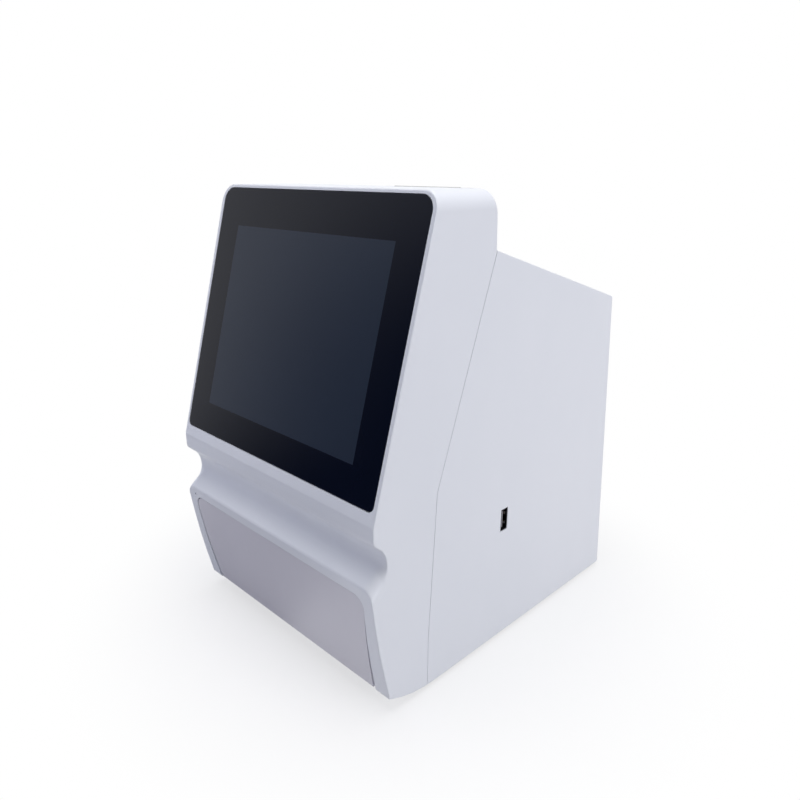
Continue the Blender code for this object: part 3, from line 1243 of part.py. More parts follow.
def drawer_drive():
    outline = gear_outline(GEAR_MODULE, PINION_TEETH, 0)
    pinion = part("drive_pinion", outline_solid(outline, "Z", RACK_FOOT, RACK_TOP - FIT_GAP), ACETAL)
    pinion.location = (PINION_X, PINION_Y, 0)
    pivot(pinion, (PINION_X, PINION_Y, RACK_FOOT))
    join(pinion, rod((PINION_X, PINION_Y, RACK_FOOT - SHAFT_ENTRY), "Z", SHAFT_RADIUS,
                     SHAFT_ENTRY + RACK_HEIGHT / 2, SMALL_SIDES))
    top = RACK_FOOT - RUNNING_GAP
    half = GEARBOX_SIDE / 2
    motor = part("drawer_motor", box((PINION_X - half, PINION_Y - half, top - GEARBOX_HEIGHT),
                                     (PINION_X + half, PINION_Y + half, top)), STEEL)
    foot = FLOOR_TOP + CHASSIS_SHEET + 2 * FIT_GAP
    join(motor, rod((PINION_X, PINION_Y, foot), "Z", MOTOR_RADIUS, top - GEARBOX_HEIGHT / 2 - foot))
    cut(motor, rod((PINION_X, PINION_Y, top - SHAFT_ENTRY - FIT_GAP), "Z", SHAFT_RADIUS + FIT_GAP, OVERRUN,
                   SMALL_SIDES))


def disc_drive():
    top = TRAY_FOOT - FIT_GAP
    motor = part("disc_motor", rod((0, DISC_Y, top - DISC_MOTOR_HEIGHT), "Z", DISC_MOTOR_RADIUS,
                                   DISC_MOTOR_HEIGHT), STEEL)
    cut(motor, rod((0, DISC_Y, top - HUB_SHAFT_ENTRY - FIT_GAP), "Z", HUB_SHAFT_RADIUS + FIT_GAP, OVERRUN,
                   SMALL_SIDES))
    seat = TRAY_FOOT + TRAY_FLOOR + RUNNING_GAP
    hub = part("disc_hub", rod((0, DISC_Y, seat), "Z", HUB_RADIUS, HUB_FLANGE), ALUMINIUM)
    pivot(hub, (0, DISC_Y, seat))
    join(hub, rod((0, DISC_Y, seat + HUB_FLANGE / 2), "Z", HUB_NOSE_RADIUS, HUB_NOSE + HUB_FLANGE / 2,
                  ROUND_SIDES, HUB_NOSE_RADIUS - HUB_SHAFT_RADIUS / 2))
    join(hub, rod((0, DISC_Y, top - HUB_SHAFT_ENTRY), "Z", HUB_SHAFT_RADIUS,
                  seat - top + HUB_SHAFT_ENTRY + HUB_FLANGE / 2, SMALL_SIDES))


# Measuring head over the disc

BRIDGE_FOOT = CHASSIS_TOP + FIT_GAP
BRIDGE_TOP = BRIDGE_FOOT + BRIDGE_SHEET
LIGHT_Y = DISC_Y + CUVETTE_RADIUS
BLOCK_FOOT = BRIDGE_TOP + FIT_GAP
READER_Y = DISC_Y


def light_hole(piece, foot, radius=LIGHT_PATH_RADIUS):
    cut(piece, rod((0, LIGHT_Y, foot), "Z", radius, 2 * OVERRUN, SMALL_SIDES))


def measuring_head():
    heater_top = BRIDGE_FOOT - FIT_GAP
    heater = part("heater_plate", rod((0, DISC_Y, heater_top - HEATER_THICKNESS), "Z", HEATER_RADIUS,
                                      HEATER_THICKNESS), ALUMINIUM)
    light_hole(heater, heater_top - OVERRUN)
    bridge = part("optics_bridge", box((-BRIDGE_HALF, BRIDGE_FRONT_Y, BRIDGE_FOOT),
                                       (BRIDGE_HALF, BRIDGE_REAR_Y, BRIDGE_TOP)), STEEL)
    light_hole(bridge, BRIDGE_TOP - OVERRUN)
    half = READER_WINDOW / 2
    cut(bridge, box((READER_X - half, READER_Y - half, BRIDGE_FOOT - OVERRUN),
                    (READER_X + half, READER_Y + half, BRIDGE_TOP + OVERRUN)))
    top = BLOCK_FOOT + BLOCK_HEIGHT
    body = box((-BLOCK_HALF, BLOCK_FRONT_Y, BLOCK_FOOT), (BLOCK_HALF, BLOCK_REAR_Y, top))
    block = part("optical_block", body, ALUMINIUM)
    light_hole(block, BLOCK_FOOT - OVERRUN / 2)
    cut(block, rod((0, LIGHT_Y, BLOCK_FOOT + LAMP_RISE), "Y", LENS_HOLE_RADIUS,
                   BLOCK_REAR_Y - LIGHT_Y + OVERRUN, SMALL_SIDES))
    lens_foot = BLOCK_FOOT + FIT_GAP
    lens = part("lens_barrel", rod((0, LIGHT_Y, lens_foot), "Z", LIGHT_PATH_RADIUS - FIT_GAP,
                                   LAMP_RISE - LENS_HOLE_RADIUS - 2 * FIT_GAP, SMALL_SIDES), BLACK)
    light_hole(lens, lens_foot - OVERRUN / 2, LENS_HOLE_RADIUS)
    lamp_y = BLOCK_REAR_Y + FIT_GAP
    lamp = part("flash_lamp", rod((0, lamp_y, BLOCK_FOOT + LAMP_RISE), "Y", LAMP_RADIUS, LAMP_LENGTH), BRIGHT)
    join(lamp, rod((0, lamp_y + LAMP_LENGTH / 2, BLOCK_FOOT + LAMP_RISE), "Y", LAMP_RADIUS + FIT_GAP * 2,
                   LAMP_COLLAR))
    join(lamp, box((-LAMP_RADIUS / 2, lamp_y + LAMP_COLLAR, BLOCK_FOOT),
                   (LAMP_RADIUS / 2, lamp_y + LAMP_LENGTH - LAMP_COLLAR, BLOCK_FOOT + LAMP_RISE)))
    board_foot = top + FIT_GAP
    middle = (BLOCK_FRONT_Y + BLOCK_REAR_Y) / 2
    board = part("detector_board", box(
        (-DETECTOR_BOARD_HALF, middle - DETECTOR_BOARD_HALF, board_foot),
        (DETECTOR_BOARD_HALF, middle + DETECTOR_BOARD_HALF, board_foot + BOARD_THICKNESS)), BOARD)
    join(board, box((-CHIP_SIDE / 2, middle - CHIP_SIDE / 2, board_foot + BOARD_THICKNESS / 2),
                    (CHIP_SIDE / 2, middle + CHIP_SIDE / 2, board_foot + BOARD_THICKNESS + CHIP_HEIGHT)))
    reader = part("code_reader", box((READER_X - READER_WIDTH / 2, READER_Y - READER_DEPTH / 2, BLOCK_FOOT),
                                     (READER_X + READER_WIDTH / 2, READER_Y + READER_DEPTH / 2,
                                      BLOCK_FOOT + READER_HEIGHT)), BLACK)
    cut(reader, box((READER_X - half, READER_Y - half, BLOCK_FOOT - OVERRUN),
                    (READER_X + half, READER_Y + half, BLOCK_FOOT + READER_HEIGHT / 2)))


# Boards on their frame, and the loudspeaker

def boards():
    foot = FLOOR_TOP + FIT_GAP
    upright = box((-FRAME_HALF, FRAME_Y, foot), (FRAME_HALF, FRAME_Y + CHASSIS_SHEET, FRAME_TOP))
    frame = part("board_frame", upright, STEEL)
    join(frame, box((-FRAME_HALF, FRAME_Y, foot), (FRAME_SHELF_X, FRAME_SHELF_REAR_Y, foot + CHASSIS_SHEET)))
    wall = FRAME_Y + CHASSIS_SHEET
    main_y = wall + STANDOFF_LENGTH + FIT_GAP
    for x in (-MAIN_HALF + STANDOFF_INSET, MAIN_HALF - STANDOFF_INSET):
        for z in (MAIN_FOOT + STANDOFF_INSET, MAIN_TOP - STANDOFF_INSET):
            join(frame, rod((x, FRAME_Y + CHASSIS_SHEET / 2, z), "Y", STANDOFF_RADIUS,
                            STANDOFF_LENGTH + CHASSIS_SHEET / 2, SMALL_SIDES))
    sheet = box((-MAIN_HALF, main_y, MAIN_FOOT), (MAIN_HALF, main_y + BOARD_THICKNESS, MAIN_TOP))
    main = part("main_board", sheet, BOARD)
    middle = (MAIN_FOOT + MAIN_TOP) / 2
    for x in (-MAIN_HALF / 2, 0, MAIN_HALF / 2):
        join(main, box((x - CHIP_SIDE / 2, main_y + BOARD_THICKNESS / 2, middle - CHIP_SIDE / 2),
                       (x + CHIP_SIDE / 2, main_y + BOARD_THICKNESS + CHIP_HEIGHT, middle + CHIP_SIDE / 2)))
    shelf = foot + CHASSIS_SHEET
    board_foot = shelf + POWER_STANDOFF
    right = FRAME_SHELF_X - STANDOFF_INSET
    for x in (POWER_LEFT + STANDOFF_INSET, right - STANDOFF_INSET):
        for y in (POWER_FRONT_Y + STANDOFF_INSET, POWER_REAR_Y - STANDOFF_INSET):
            join(frame, rod((x, y, shelf - CHASSIS_SHEET / 2), "Z", STANDOFF_RADIUS,
                            POWER_STANDOFF + CHASSIS_SHEET / 2 - FIT_GAP, SMALL_SIDES))
    power = part("power_board", box((POWER_LEFT, POWER_FRONT_Y, board_foot),
                                    (right, POWER_REAR_Y, board_foot + BOARD_THICKNESS)), BOARD)
    top = board_foot + BOARD_THICKNESS
    join(power, box((POWER_LEFT + COIL_WIDTH / 2, POWER_FRONT_Y + STANDOFF_INSET, top - BOARD_THICKNESS / 2),
                    (POWER_LEFT + COIL_WIDTH * 3 / 2, POWER_FRONT_Y + STANDOFF_INSET + COIL_WIDTH,
                     top + COIL_HEIGHT)))
    join(power, rod((right - COIL_WIDTH, POWER_FRONT_Y + STANDOFF_INSET + COIL_WIDTH / 2,
                     top - BOARD_THICKNESS / 2), "Z", CAN_RADIUS, CAN_HEIGHT, SMALL_SIDES))
    speaker = part("speaker", rod((SPEAKER_X, SPEAKER_Y, foot), "Z", SPEAKER_RADIUS, SPEAKER_HEIGHT), BLACK)
    join(speaker, rod((SPEAKER_X, SPEAKER_Y, foot + SPEAKER_HEIGHT / 2), "Z", SPEAKER_DUST_RADIUS,
                      SPEAKER_HEIGHT, SMALL_SIDES))


# Upright socket in the right side

def side_socket():
    out = HALF - REAR_SINK
    half_width, half_height = USB_MOUTH_WIDTH / 2, USB_MOUTH_HEIGHT / 2
    back = out - USB_DEPTH
    shell = part("side_usb_shell", box((back, USB_Y - half_width, USB_HEIGHT - half_height),
                                       (out, USB_Y + half_width, USB_HEIGHT + half_height)), BRIGHT)
    wall = USB_SHELL_WALL
    cut(shell, box((back + wall, USB_Y - half_width + wall, USB_HEIGHT - half_height + wall),
                   (out + OVERRUN, USB_Y + half_width - wall, USB_HEIGHT + half_height - wall)))
    tongue_y = USB_Y - USB_TONGUE_OFFSET
    part("side_usb_tongue", box((back + wall + FIT_GAP, tongue_y - USB_TONGUE_THICKNESS / 2,
                                 USB_HEIGHT - USB_TONGUE_HEIGHT / 2),
                                (out - USB_TONGUE_SINK, tongue_y + USB_TONGUE_THICKNESS / 2,
                                 USB_HEIGHT + USB_TONGUE_HEIGHT / 2)), BLACK)
    rear = INNER_HALF - FIT_GAP
    part("usb_board", box((rear - USB_BOARD_LENGTH, USB_BOARD_Y, USB_HEIGHT - USB_BOARD_HEIGHT / 2),
                          (rear, USB_BOARD_Y + BOARD_THICKNESS, USB_HEIGHT + USB_BOARD_HEIGHT / 2)), BOARD)


# Printer in the head

PLATEN_Z = BODY_HEIGHT - PLATEN_DROP
FEED_REACH = FEED_MODULE * (PLATEN_TEETH + FEED_TEETH) / 2
FEED_Z = PLATEN_Z - FEED_REACH
ROLL_Y = BUCKET_FRONT_Y + BUCKET_WALL + ROLL_RADIUS + 3 * RUNNING_GAP
ROLL_Z = BODY_HEIGHT - BUCKET_FOOT_DROP + BUCKET_WALL + RUNNING_GAP + ROLL_RADIUS


def printer_box(left, right, front, rear, foot_drop, top_drop):
    """A box placed from the printer's middle and down from the head's top."""
    low = (PRINTER_X + left, front, BODY_HEIGHT - foot_drop)
    return box(low, (PRINTER_X + right, rear, BODY_HEIGHT - top_drop))


def printer_rod(left, right, y, z, radius, sides=SMALL_SIDES):
    return rod((PRINTER_X + left, y, z), "X", radius, right - left, sides)


def printer_bucket():
    made = part("printer_bucket", printer_box(-BUCKET_HALF, BUCKET_HALF, BUCKET_FRONT_Y, BUCKET_REAR_Y,
                BUCKET_FOOT_DROP, BUCKET_TOP_DROP), BLACK)
    foot, rise = BODY_HEIGHT - SIDE_PLATE_FOOT_DROP, BODY_HEIGHT - SIDE_PLATE_RISE_DROP
    shoulder = BODY_HEIGHT - BUCKET_TOP_DROP
    ear = [(EAR_FRONT_Y, foot), (EAR_REAR_Y, foot), (EAR_REAR_Y, rise), (EAR_FRONT_Y, rise)]
    long_plate = [(EAR_FRONT_Y, foot), (BUCKET_REAR_Y, foot), (BUCKET_REAR_Y, shoulder),
                  (EAR_REAR_Y, shoulder), (EAR_REAR_Y, rise), (EAR_FRONT_Y, rise)]
    plate_middle = (SIDE_PLATE_INNER + SIDE_PLATE_OUTER) / 2
    for side, outline in ((-1, long_plate), (1, ear)):
        low, high = sorted((side * (BUCKET_HALF - BUCKET_WALL / 2), side * plate_middle))
        join(made, printer_box(low, high, EAR_FRONT_Y + FIT_GAP, EAR_REAR_Y - FIT_GAP,
                               SIDE_PLATE_FOOT_DROP - FIT_GAP, BUCKET_TOP_DROP + FIT_GAP))
        low, high = sorted((side * SIDE_PLATE_INNER, side * SIDE_PLATE_OUTER))
        join(made, outline_solid(outline, "X", PRINTER_X + low, PRINTER_X + high))
    inner = BUCKET_HALF - BUCKET_WALL
    cut(made, printer_box(-inner, inner, BUCKET_FRONT_Y + BUCKET_WALL, BUCKET_REAR_Y - BUCKET_REAR_WALL,
                          BUCKET_FOOT_DROP - BUCKET_WALL, 0))
    bore = LID_PIN_RADIUS + HOLE_CLEARANCE
    cut(made, printer_rod(-2 * LID_HALF, 2 * LID_HALF, LID_AXIS_Y, LID_AXIS_Z, bore))
    cut(made, printer_rod(-2 * LID_HALF, -LID_HALF, PLATEN_Y, FEED_Z, bore))


def printer_lid():
    top = BODY_HEIGHT
    crown = ring(LID_AXIS_DROP, LID_ARC_STEPS, math.pi / 2, math.pi / 2, (LID_AXIS_Y, LID_AXIS_Z), False)
    knuckle = ring(LID_KNUCKLE_RADIUS, 2 * LID_ARC_STEPS, math.pi * 1.1, math.pi * 0.85,
                   (LID_AXIS_Y, LID_AXIS_Z), False)
    outline = [(LID_REAR_Y, top)] + crown + knuckle
    outline += [(LID_AXIS_Y + LID_KNUCKLE_RADIUS, top - LID_SHEET), (LID_REAR_Y, top - LID_SHEET)]
    made = part("printer_lid", outline_solid(outline, "X", PRINTER_X - LID_HALF, PRINTER_X + LID_HALF), WHITE)
    pivot(made, (PRINTER_X, LID_AXIS_Y, LID_AXIS_Z))
    for side in (-1, 1):
        low, high = sorted((side * LID_EAR_INNER, side * LID_EAR_OUTER))
        join(made, printer_box(low, high, LID_EAR_FRONT_Y, LID_EAR_REAR_Y, LID_EAR_FOOT_DROP, LID_SHEET / 2))
    pin_bore, shaft_bore = LID_PIN_RADIUS + HOLE_CLEARANCE, PLATEN_SHAFT_RADIUS + HOLE_CLEARANCE
    cut(made, printer_rod(-2 * LID_HALF, 2 * LID_HALF, LID_AXIS_Y, LID_AXIS_Z, pin_bore))
    cut(made, printer_rod(-2 * LID_HALF, 2 * LID_HALF, PLATEN_Y, PLATEN_Z, shaft_bore))
    pin = printer_rod(-SIDE_PLATE_OUTER, SIDE_PLATE_OUTER, LID_AXIS_Y, LID_AXIS_Z, LID_PIN_RADIUS)
    part("lid_hinge_pin", pin, BRIGHT)


def paper_path():
    platen = part("platen_roller", printer_rod(-PLATEN_HALF, PLATEN_HALF, PLATEN_Y, PLATEN_Z, PLATEN_RADIUS,
                  ROUND_SIDES), RUBBER)
    pivot(platen, (PRINTER_X, PLATEN_Y, PLATEN_Z))
    gear_near, gear_far = -FEED_GEAR_INNER - FEED_GEAR_WIDTH, -FEED_GEAR_INNER
    join(platen, printer_rod(gear_near, LID_EAR_OUTER + FIT_GAP, PLATEN_Y, PLATEN_Z, PLATEN_SHAFT_RADIUS))
    flip = [(y + PLATEN_Y, z + PLATEN_Z) for y, z in gear_outline(FEED_MODULE, PLATEN_TEETH, -math.pi / 2)]
    join(platen, outline_solid(flip, "X", PRINTER_X + gear_near, PRINTER_X + gear_far))
    half_step = math.pi / FEED_TEETH
    phase = math.pi / 2 + half_step
    teeth = [(y + PLATEN_Y, z + FEED_Z) for y, z in gear_outline(FEED_MODULE, FEED_TEETH, phase)]
    feed = part("feed_gear", outline_solid(teeth, "X", PRINTER_X + gear_near, PRINTER_X + gear_far), ACETAL)
    pivot(feed, (PRINTER_X + gear_near, PLATEN_Y, FEED_Z))
    join(feed, printer_rod(-SIDE_PLATE_OUTER - SHAFT_ENTRY, -FEED_GEAR_INNER - FEED_GEAR_WIDTH / 2, PLATEN_Y,
                           FEED_Z, LID_PIN_RADIUS))
    near = -SIDE_PLATE_OUTER - FIT_GAP - FEED_MOTOR_LENGTH
    can = printer_rod(near, near + FEED_MOTOR_LENGTH, PLATEN_Y, FEED_Z, FEED_MOTOR_RADIUS, ROUND_SIDES)
    motor = part("feed_motor", can, STEEL)
    cut(motor, printer_rod(-SIDE_PLATE_OUTER - SHAFT_ENTRY - FIT_GAP, 0, PLATEN_Y, FEED_Z,
                           LID_PIN_RADIUS + HOLE_CLEARANCE))
    wound = printer_rod(-ROLL_HALF, ROLL_HALF, ROLL_Y, ROLL_Z, ROLL_RADIUS, ROUND_SIDES)
    roll = part("paper_roll", wound, PAPER)
    pivot(roll, (PRINTER_X, ROLL_Y, ROLL_Z))
    cut(roll, printer_rod(-2 * ROLL_HALF, 2 * ROLL_HALF, ROLL_Y, ROLL_Z, ROLL_CORE_RADIUS))
    foot = BUCKET_TOP_DROP - FIT_GAP
    part("print_head", printer_box(-PRINT_HEAD_HALF, PRINT_HEAD_HALF, PRINT_HEAD_Y,
         PRINT_HEAD_Y + PRINT_HEAD_THICKNESS, foot, foot - PRINT_HEAD_HEIGHT), ALUMINIUM)
    part("tear_bar", printer_box(-TEAR_HALF, TEAR_HALF, TEAR_Y, TEAR_Y + TEAR_THICKNESS,
         foot - PRINT_HEAD_HEIGHT - FIT_GAP, -TEAR_RISE), BRIGHT)


def release_plunger():
    back = front_y(PINHOLE_HEIGHT) + DRAWER_BULKHEAD + 2 * FIT_GAP
    made = part("release_button", rod((PINHOLE_X, back, PINHOLE_HEIGHT), "Y", PLUNGER_RADIUS, PLUNGER_LENGTH,
                                      SMALL_SIDES), ACETAL)
    pivot(made, (PINHOLE_X, back, PINHOLE_HEIGHT))
    join(made, rod((PINHOLE_X, back + PLUNGER_LENGTH - PLUNGER_COLLAR, PINHOLE_HEIGHT), "Y",
                   PLUNGER_COLLAR_RADIUS, PLUNGER_COLLAR, SMALL_SIDES))


front_cover()
rear_housing()
drawer_front()
screen_parts()
base_parts()
rear_panel()
fan_parts()
rear_sockets()
chassis()
rails()
tray()
rack()
drawer_drive()
disc_drive()
measuring_head()
boards()
side_socket()
printer_bucket()
printer_lid()
paper_path()
release_plunger()
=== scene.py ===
import json
import math

import bmesh
import bpy
from mathutils import Matrix, Vector


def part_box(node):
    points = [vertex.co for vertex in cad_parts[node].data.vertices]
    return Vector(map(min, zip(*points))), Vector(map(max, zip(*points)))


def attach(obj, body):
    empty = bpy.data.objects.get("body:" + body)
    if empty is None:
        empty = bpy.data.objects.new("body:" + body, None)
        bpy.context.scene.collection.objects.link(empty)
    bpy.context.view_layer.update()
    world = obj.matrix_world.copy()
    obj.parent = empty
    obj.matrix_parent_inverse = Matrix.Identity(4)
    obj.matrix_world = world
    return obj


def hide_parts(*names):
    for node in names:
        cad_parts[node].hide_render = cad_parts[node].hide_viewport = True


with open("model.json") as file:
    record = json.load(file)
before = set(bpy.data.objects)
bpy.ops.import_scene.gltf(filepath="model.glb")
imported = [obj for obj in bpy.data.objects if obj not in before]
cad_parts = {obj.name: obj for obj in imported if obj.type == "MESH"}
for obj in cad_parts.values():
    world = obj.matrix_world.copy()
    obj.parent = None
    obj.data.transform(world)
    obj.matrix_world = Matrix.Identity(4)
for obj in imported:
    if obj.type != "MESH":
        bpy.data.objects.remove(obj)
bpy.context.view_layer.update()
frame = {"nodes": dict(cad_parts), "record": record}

nodes = frame["nodes"]
bodyOf = {n: body for body, names in frame["record"]["behaviour"]["bodies"].items() for n in names}
slotOf = {s["node"]: s["material_slot"] for s in frame["record"]["subparts"]}
mm = 0.001
print("Frame loaded:", len(nodes), "nodes")


# The camera stands where the photograph was taken from: front right, a little above

camera = {
    "place": (0.34769, -0.35459, 0.31923),
    "yaw": 44.947,      # degrees the view is turned to the left
    "pitch": 18.407,    # degrees it looks down
    "roll": 0.185,
    "lens": 31.014,     # mm on a 36 mm sensor
}


def addCamera(look):
    data = bpy.data.cameras.new("photoCamera")
    data.lens = look["lens"]
    data.sensor_width = 36
    data.clip_start = 0.01
    data.clip_end = 50
    eye = bpy.data.objects.new("photoCamera", data)
    bpy.context.scene.collection.objects.link(eye)
    turn = Matrix.Rotation(math.radians(look["yaw"]), 4, "Z")
    turn = turn @ Matrix.Rotation(math.radians(90 - look["pitch"]), 4, "X")
    turn = turn @ Matrix.Rotation(math.radians(look["roll"]), 4, "Z")
    eye.matrix_world = Matrix.Translation(look["place"]) @ turn
    bpy.context.scene.camera = eye


addCamera(camera)
print("Camera placed")


# Materials: every pattern is on Object coordinates, with its size in millimetres. After a finish's name come
# its two tones, the size of their patches, least and most roughness, the size of the wipe marks, and the
# grain's size and depth

def linear(code, alpha=1.0):
    parts = [int(code[i:i + 2], 16) / 255 for i in (1, 3, 5)]
    return tuple(c / 12.92 if c <= 0.04045 else ((c + 0.055) / 1.055) ** 2.4 for c in parts) + (alpha,)


def addNode(tree, kind, place=(0, 0), links=None, **settings):
    # one node: plain settings by name, socket values and links in the links dictionary
    made = tree.nodes.new(kind)
    made.location = place
    for name, value in settings.items():
        setattr(made, name, value)
    for name, value in (links or {}).items():
        socket = made.inputs[name]
        if isinstance(value, bpy.types.NodeSocket):
            tree.links.new(value, socket)
        else:
            socket.default_value = value
    return made


def newMaterial(name, **sockets):
    made = bpy.data.materials.new(name)
    made.use_nodes = True
    shader = made.node_tree.nodes["Principled BSDF"]
    for key, value in sockets.items():
        shader.inputs[key.replace("_", " ")].default_value = value
    return made, made.node_tree, shader


pattern = {
    "patchDetail": 3.0, "markDetail": 5.0, "grainDetail": 2.0,
    "markRange": (0.35, 0.65),    # the part of the noise in which nearly all of it lies
    "bumpStrength": 0.6,
}


def makeFinish(name, tones, patch, roughness, worn, grain, depth, stretch=(1, 1, 1), **sockets):
    # two tones in soft patches, gloss that wanders between two values, and a raised grain; sizes in mm
    made, tree, shader = newMaterial(name, **sockets)
    where = addNode(tree, "ShaderNodeTexCoord", (-1300, 0)).outputs["Object"]
    mapped = addNode(tree, "ShaderNodeMapping", (-1100, 0), {"Vector": where, "Scale": stretch})
    run = mapped.outputs["Vector"]
    patches = addNode(tree, "ShaderNodeTexNoise", (-850, 300), {
        "Vector": run, "Scale": 1 / (patch * mm), "Detail": pattern["patchDetail"]})
    tone = addNode(tree, "ShaderNodeMix", (-400, 300), {
        "Factor": patches.outputs["Fac"], 6: linear(tones[0]), 7: linear(tones[1])}, data_type="RGBA")
    marks = addNode(tree, "ShaderNodeTexNoise", (-850, 0), {
        "Vector": run, "Scale": 1 / (worn * mm), "Detail": pattern["markDetail"]})
    gloss = addNode(tree, "ShaderNodeMapRange", (-400, 0), {
        "Value": marks.outputs["Fac"],
        "From Min": pattern["markRange"][0], "From Max": pattern["markRange"][1],
        "To Min": roughness[0], "To Max": roughness[1]})
    grains = addNode(tree, "ShaderNodeTexNoise", (-850, -300), {
        "Vector": run, "Scale": 1 / (grain * mm), "Detail": pattern["grainDetail"]})
    bump = addNode(tree, "ShaderNodeBump", (-400, -300), {
        "Height": grains.outputs["Fac"], "Distance": depth * mm, "Strength": pattern["bumpStrength"]})
    tree.links.new(tone.outputs[2], shader.inputs["Base Color"])
    tree.links.new(gloss.outputs["Result"], shader.inputs["Roughness"])
    tree.links.new(bump.outputs["Normal"], shader.inputs["Normal"])
    return made


# White ABS, injection moulded in a finely eroded tool: soft sheen, barely visible grain, upright wipe marks
shellAbs = makeFinish("whiteMouldedAbs", ("#e9ebef", "#e1e4e9"), 70, (0.30, 0.40), 26, 0.9, 0.012,
                      stretch=(1, 1, 0.5), IOR=1.5)
# The drawer front is the same white ABS with its tones painted darker, as painted shade on the front of the
# body
shadedPanelAbs = makeFinish("drawerFrontAbsPaintedShade", ("#d9d7dd", "#d2d0d6"), 70, (0.32, 0.42), 26, 0.9, 0.012,
                      stretch=(1, 1, 0.5), IOR=1.5)

# Toughened float glass with an anti-glare coating: deep even colour under a hard gloss, faint wipe marks. The
# coating halves the mirror, so the specular level is low
borderPrint = makeFinish("blackPrintedGlass", ("#070d1c", "#090f20"), 60, (0.04, 0.09), 30, 40, 0.004,
                         IOR=1.52, Specular_IOR_Level=0.15)
displayOff = makeFinish("unlitDisplayGlass", ("#272f3d", "#2a3342"), 90, (0.05, 0.10), 30, 40, 0.004,
                        IOR=1.52, Specular_IOR_Level=0.15)
lensGlass = makeFinish("polishedCrownGlass", ("#39424c", "#434d58"), 20, (0.02, 0.05), 8, 10, 0.001,
                       IOR=1.52)
readerGlass = makeFinish("tintedAcrylic", ("#3a0d10", "#2c090c"), 12, (0.05, 0.10), 8, 6, 0.001, IOR=1.49)

# Plated, milled and turned metal: bright, with fine tool lines 0.5 mm apart, drawn coarse enough to show. The
# side socket's shell is the same plated steel with its tones painted near black, as painted shade for the
# inside of the socket, and the turntable is turned and a little duller
brightSteel = makeFinish("nickelPlatedSteel", ("#d6d6d6", "#c2c2c3"), 0.9, (0.15, 0.27), 2.5, 0.5, 0.006,
                         Metallic=1.0)
machinedAluminium = makeFinish("milledAluminium", ("#cfd0d2", "#babcbf"), 0.7, (0.24, 0.38), 3.0, 0.5, 0.012,
                               stretch=(0.06, 1, 1), Metallic=1.0)
shadedSocketSteel = makeFinish("socketSteelPaintedShade", ("#26262a", "#1e1e22"), 0.9, (0.30, 0.42), 2.5, 0.5, 0.006,
                         Metallic=1.0)
goldContact = makeFinish("goldPlatedBronze", ("#e6bd62", "#d2a549"), 1.5, (0.14, 0.24), 2.0, 0.5, 0.002,
                         Metallic=1.0)
turnedAluminium = makeFinish("turnedAluminium", ("#a9abaf", "#96989d"), 0.9, (0.32, 0.44), 3.0, 0.5, 0.01,
                             Metallic=1.0)
copperWire = makeFinish("enamelledCopperWire", ("#9c4a20", "#7c3816"), 0.6, (0.22, 0.36), 3.0, 0.5, 0.01,
                        stretch=(0.1, 1, 1), Metallic=1.0)

# Moulded plastics and rubber, each with the eroded grain of its tool
blackAbs = makeFinish("blackMouldedAbs", ("#1b1b1d", "#232326"), 12, (0.38, 0.48), 6, 0.5, 0.02)
darkTray = makeFinish("sparkErodedDarkAbs", ("#34363b", "#3c3e44"), 30, (0.44, 0.56), 9, 0.7, 0.03)
footRubber = makeFinish("mattBlackRubber", ("#1c1c1c", "#2a2a29"), 4, (0.76, 0.88), 3, 0.35, 0.03)
acetal = makeFinish("naturalAcetal", ("#e4e2d9", "#d9d6cb"), 12, (0.32, 0.42), 6, 0.6, 0.006)
nylon = makeFinish("naturalNylon", ("#e9e3d0", "#dfd8c2"), 8, (0.40, 0.52), 5, 0.5, 0.008)
tongueAbs = makeFinish("greyPbtPlastic", ("#8f8e94", "#828187"), 6, (0.40, 0.52), 4, 0.5, 0.01)
chipEpoxy = makeFinish("mouldedEpoxy", ("#18191b", "#202124"), 6, (0.50, 0.62), 3, 0.25, 0.01)
canSleeve = makeFinish("shrinkSleeve", ("#20222c", "#292b36"), 8, (0.26, 0.36), 5, 0.5, 0.004)
amberLens = makeFinish("amberAcrylic", ("#b8791e", "#a96d18"), 3, (0.12, 0.18), 2, 0.5, 0.002)
greenLens = makeFinish("greenAcrylic", ("#3f8a43", "#377c3b"), 3, (0.12, 0.18), 2, 0.5, 0.002)
whitePrint = makeFinish("whitePadPrint", ("#e9e9e6", "#dcdcd8"), 3, (0.50, 0.60), 2, 0.4, 0.005)

# Glazed ceramic, paper and board
heaterGlaze = makeFinish("glazedCeramic", ("#3b2a1c", "#46331f"), 6, (0.09, 0.15), 4, 1.0, 0.001)
thermalPaper = makeFinish("thermalPaper", ("#f3f3ef", "#e2e2dc"), 0.9, (0.72, 0.84), 8, 0.7, 0.012,
                          stretch=(0.4, 1, 1))
cardboard = makeFinish("greyCardboard", ("#b3a68f", "#a2957e"), 1.2, (0.80, 0.90), 5, 0.4, 0.03)


zinc = {"tones": ("#babcbf", "#afb1b5"), "crystal": 4, "roughness": (0.33, 0.38), "grain": 1.6, "depth": 0.01}


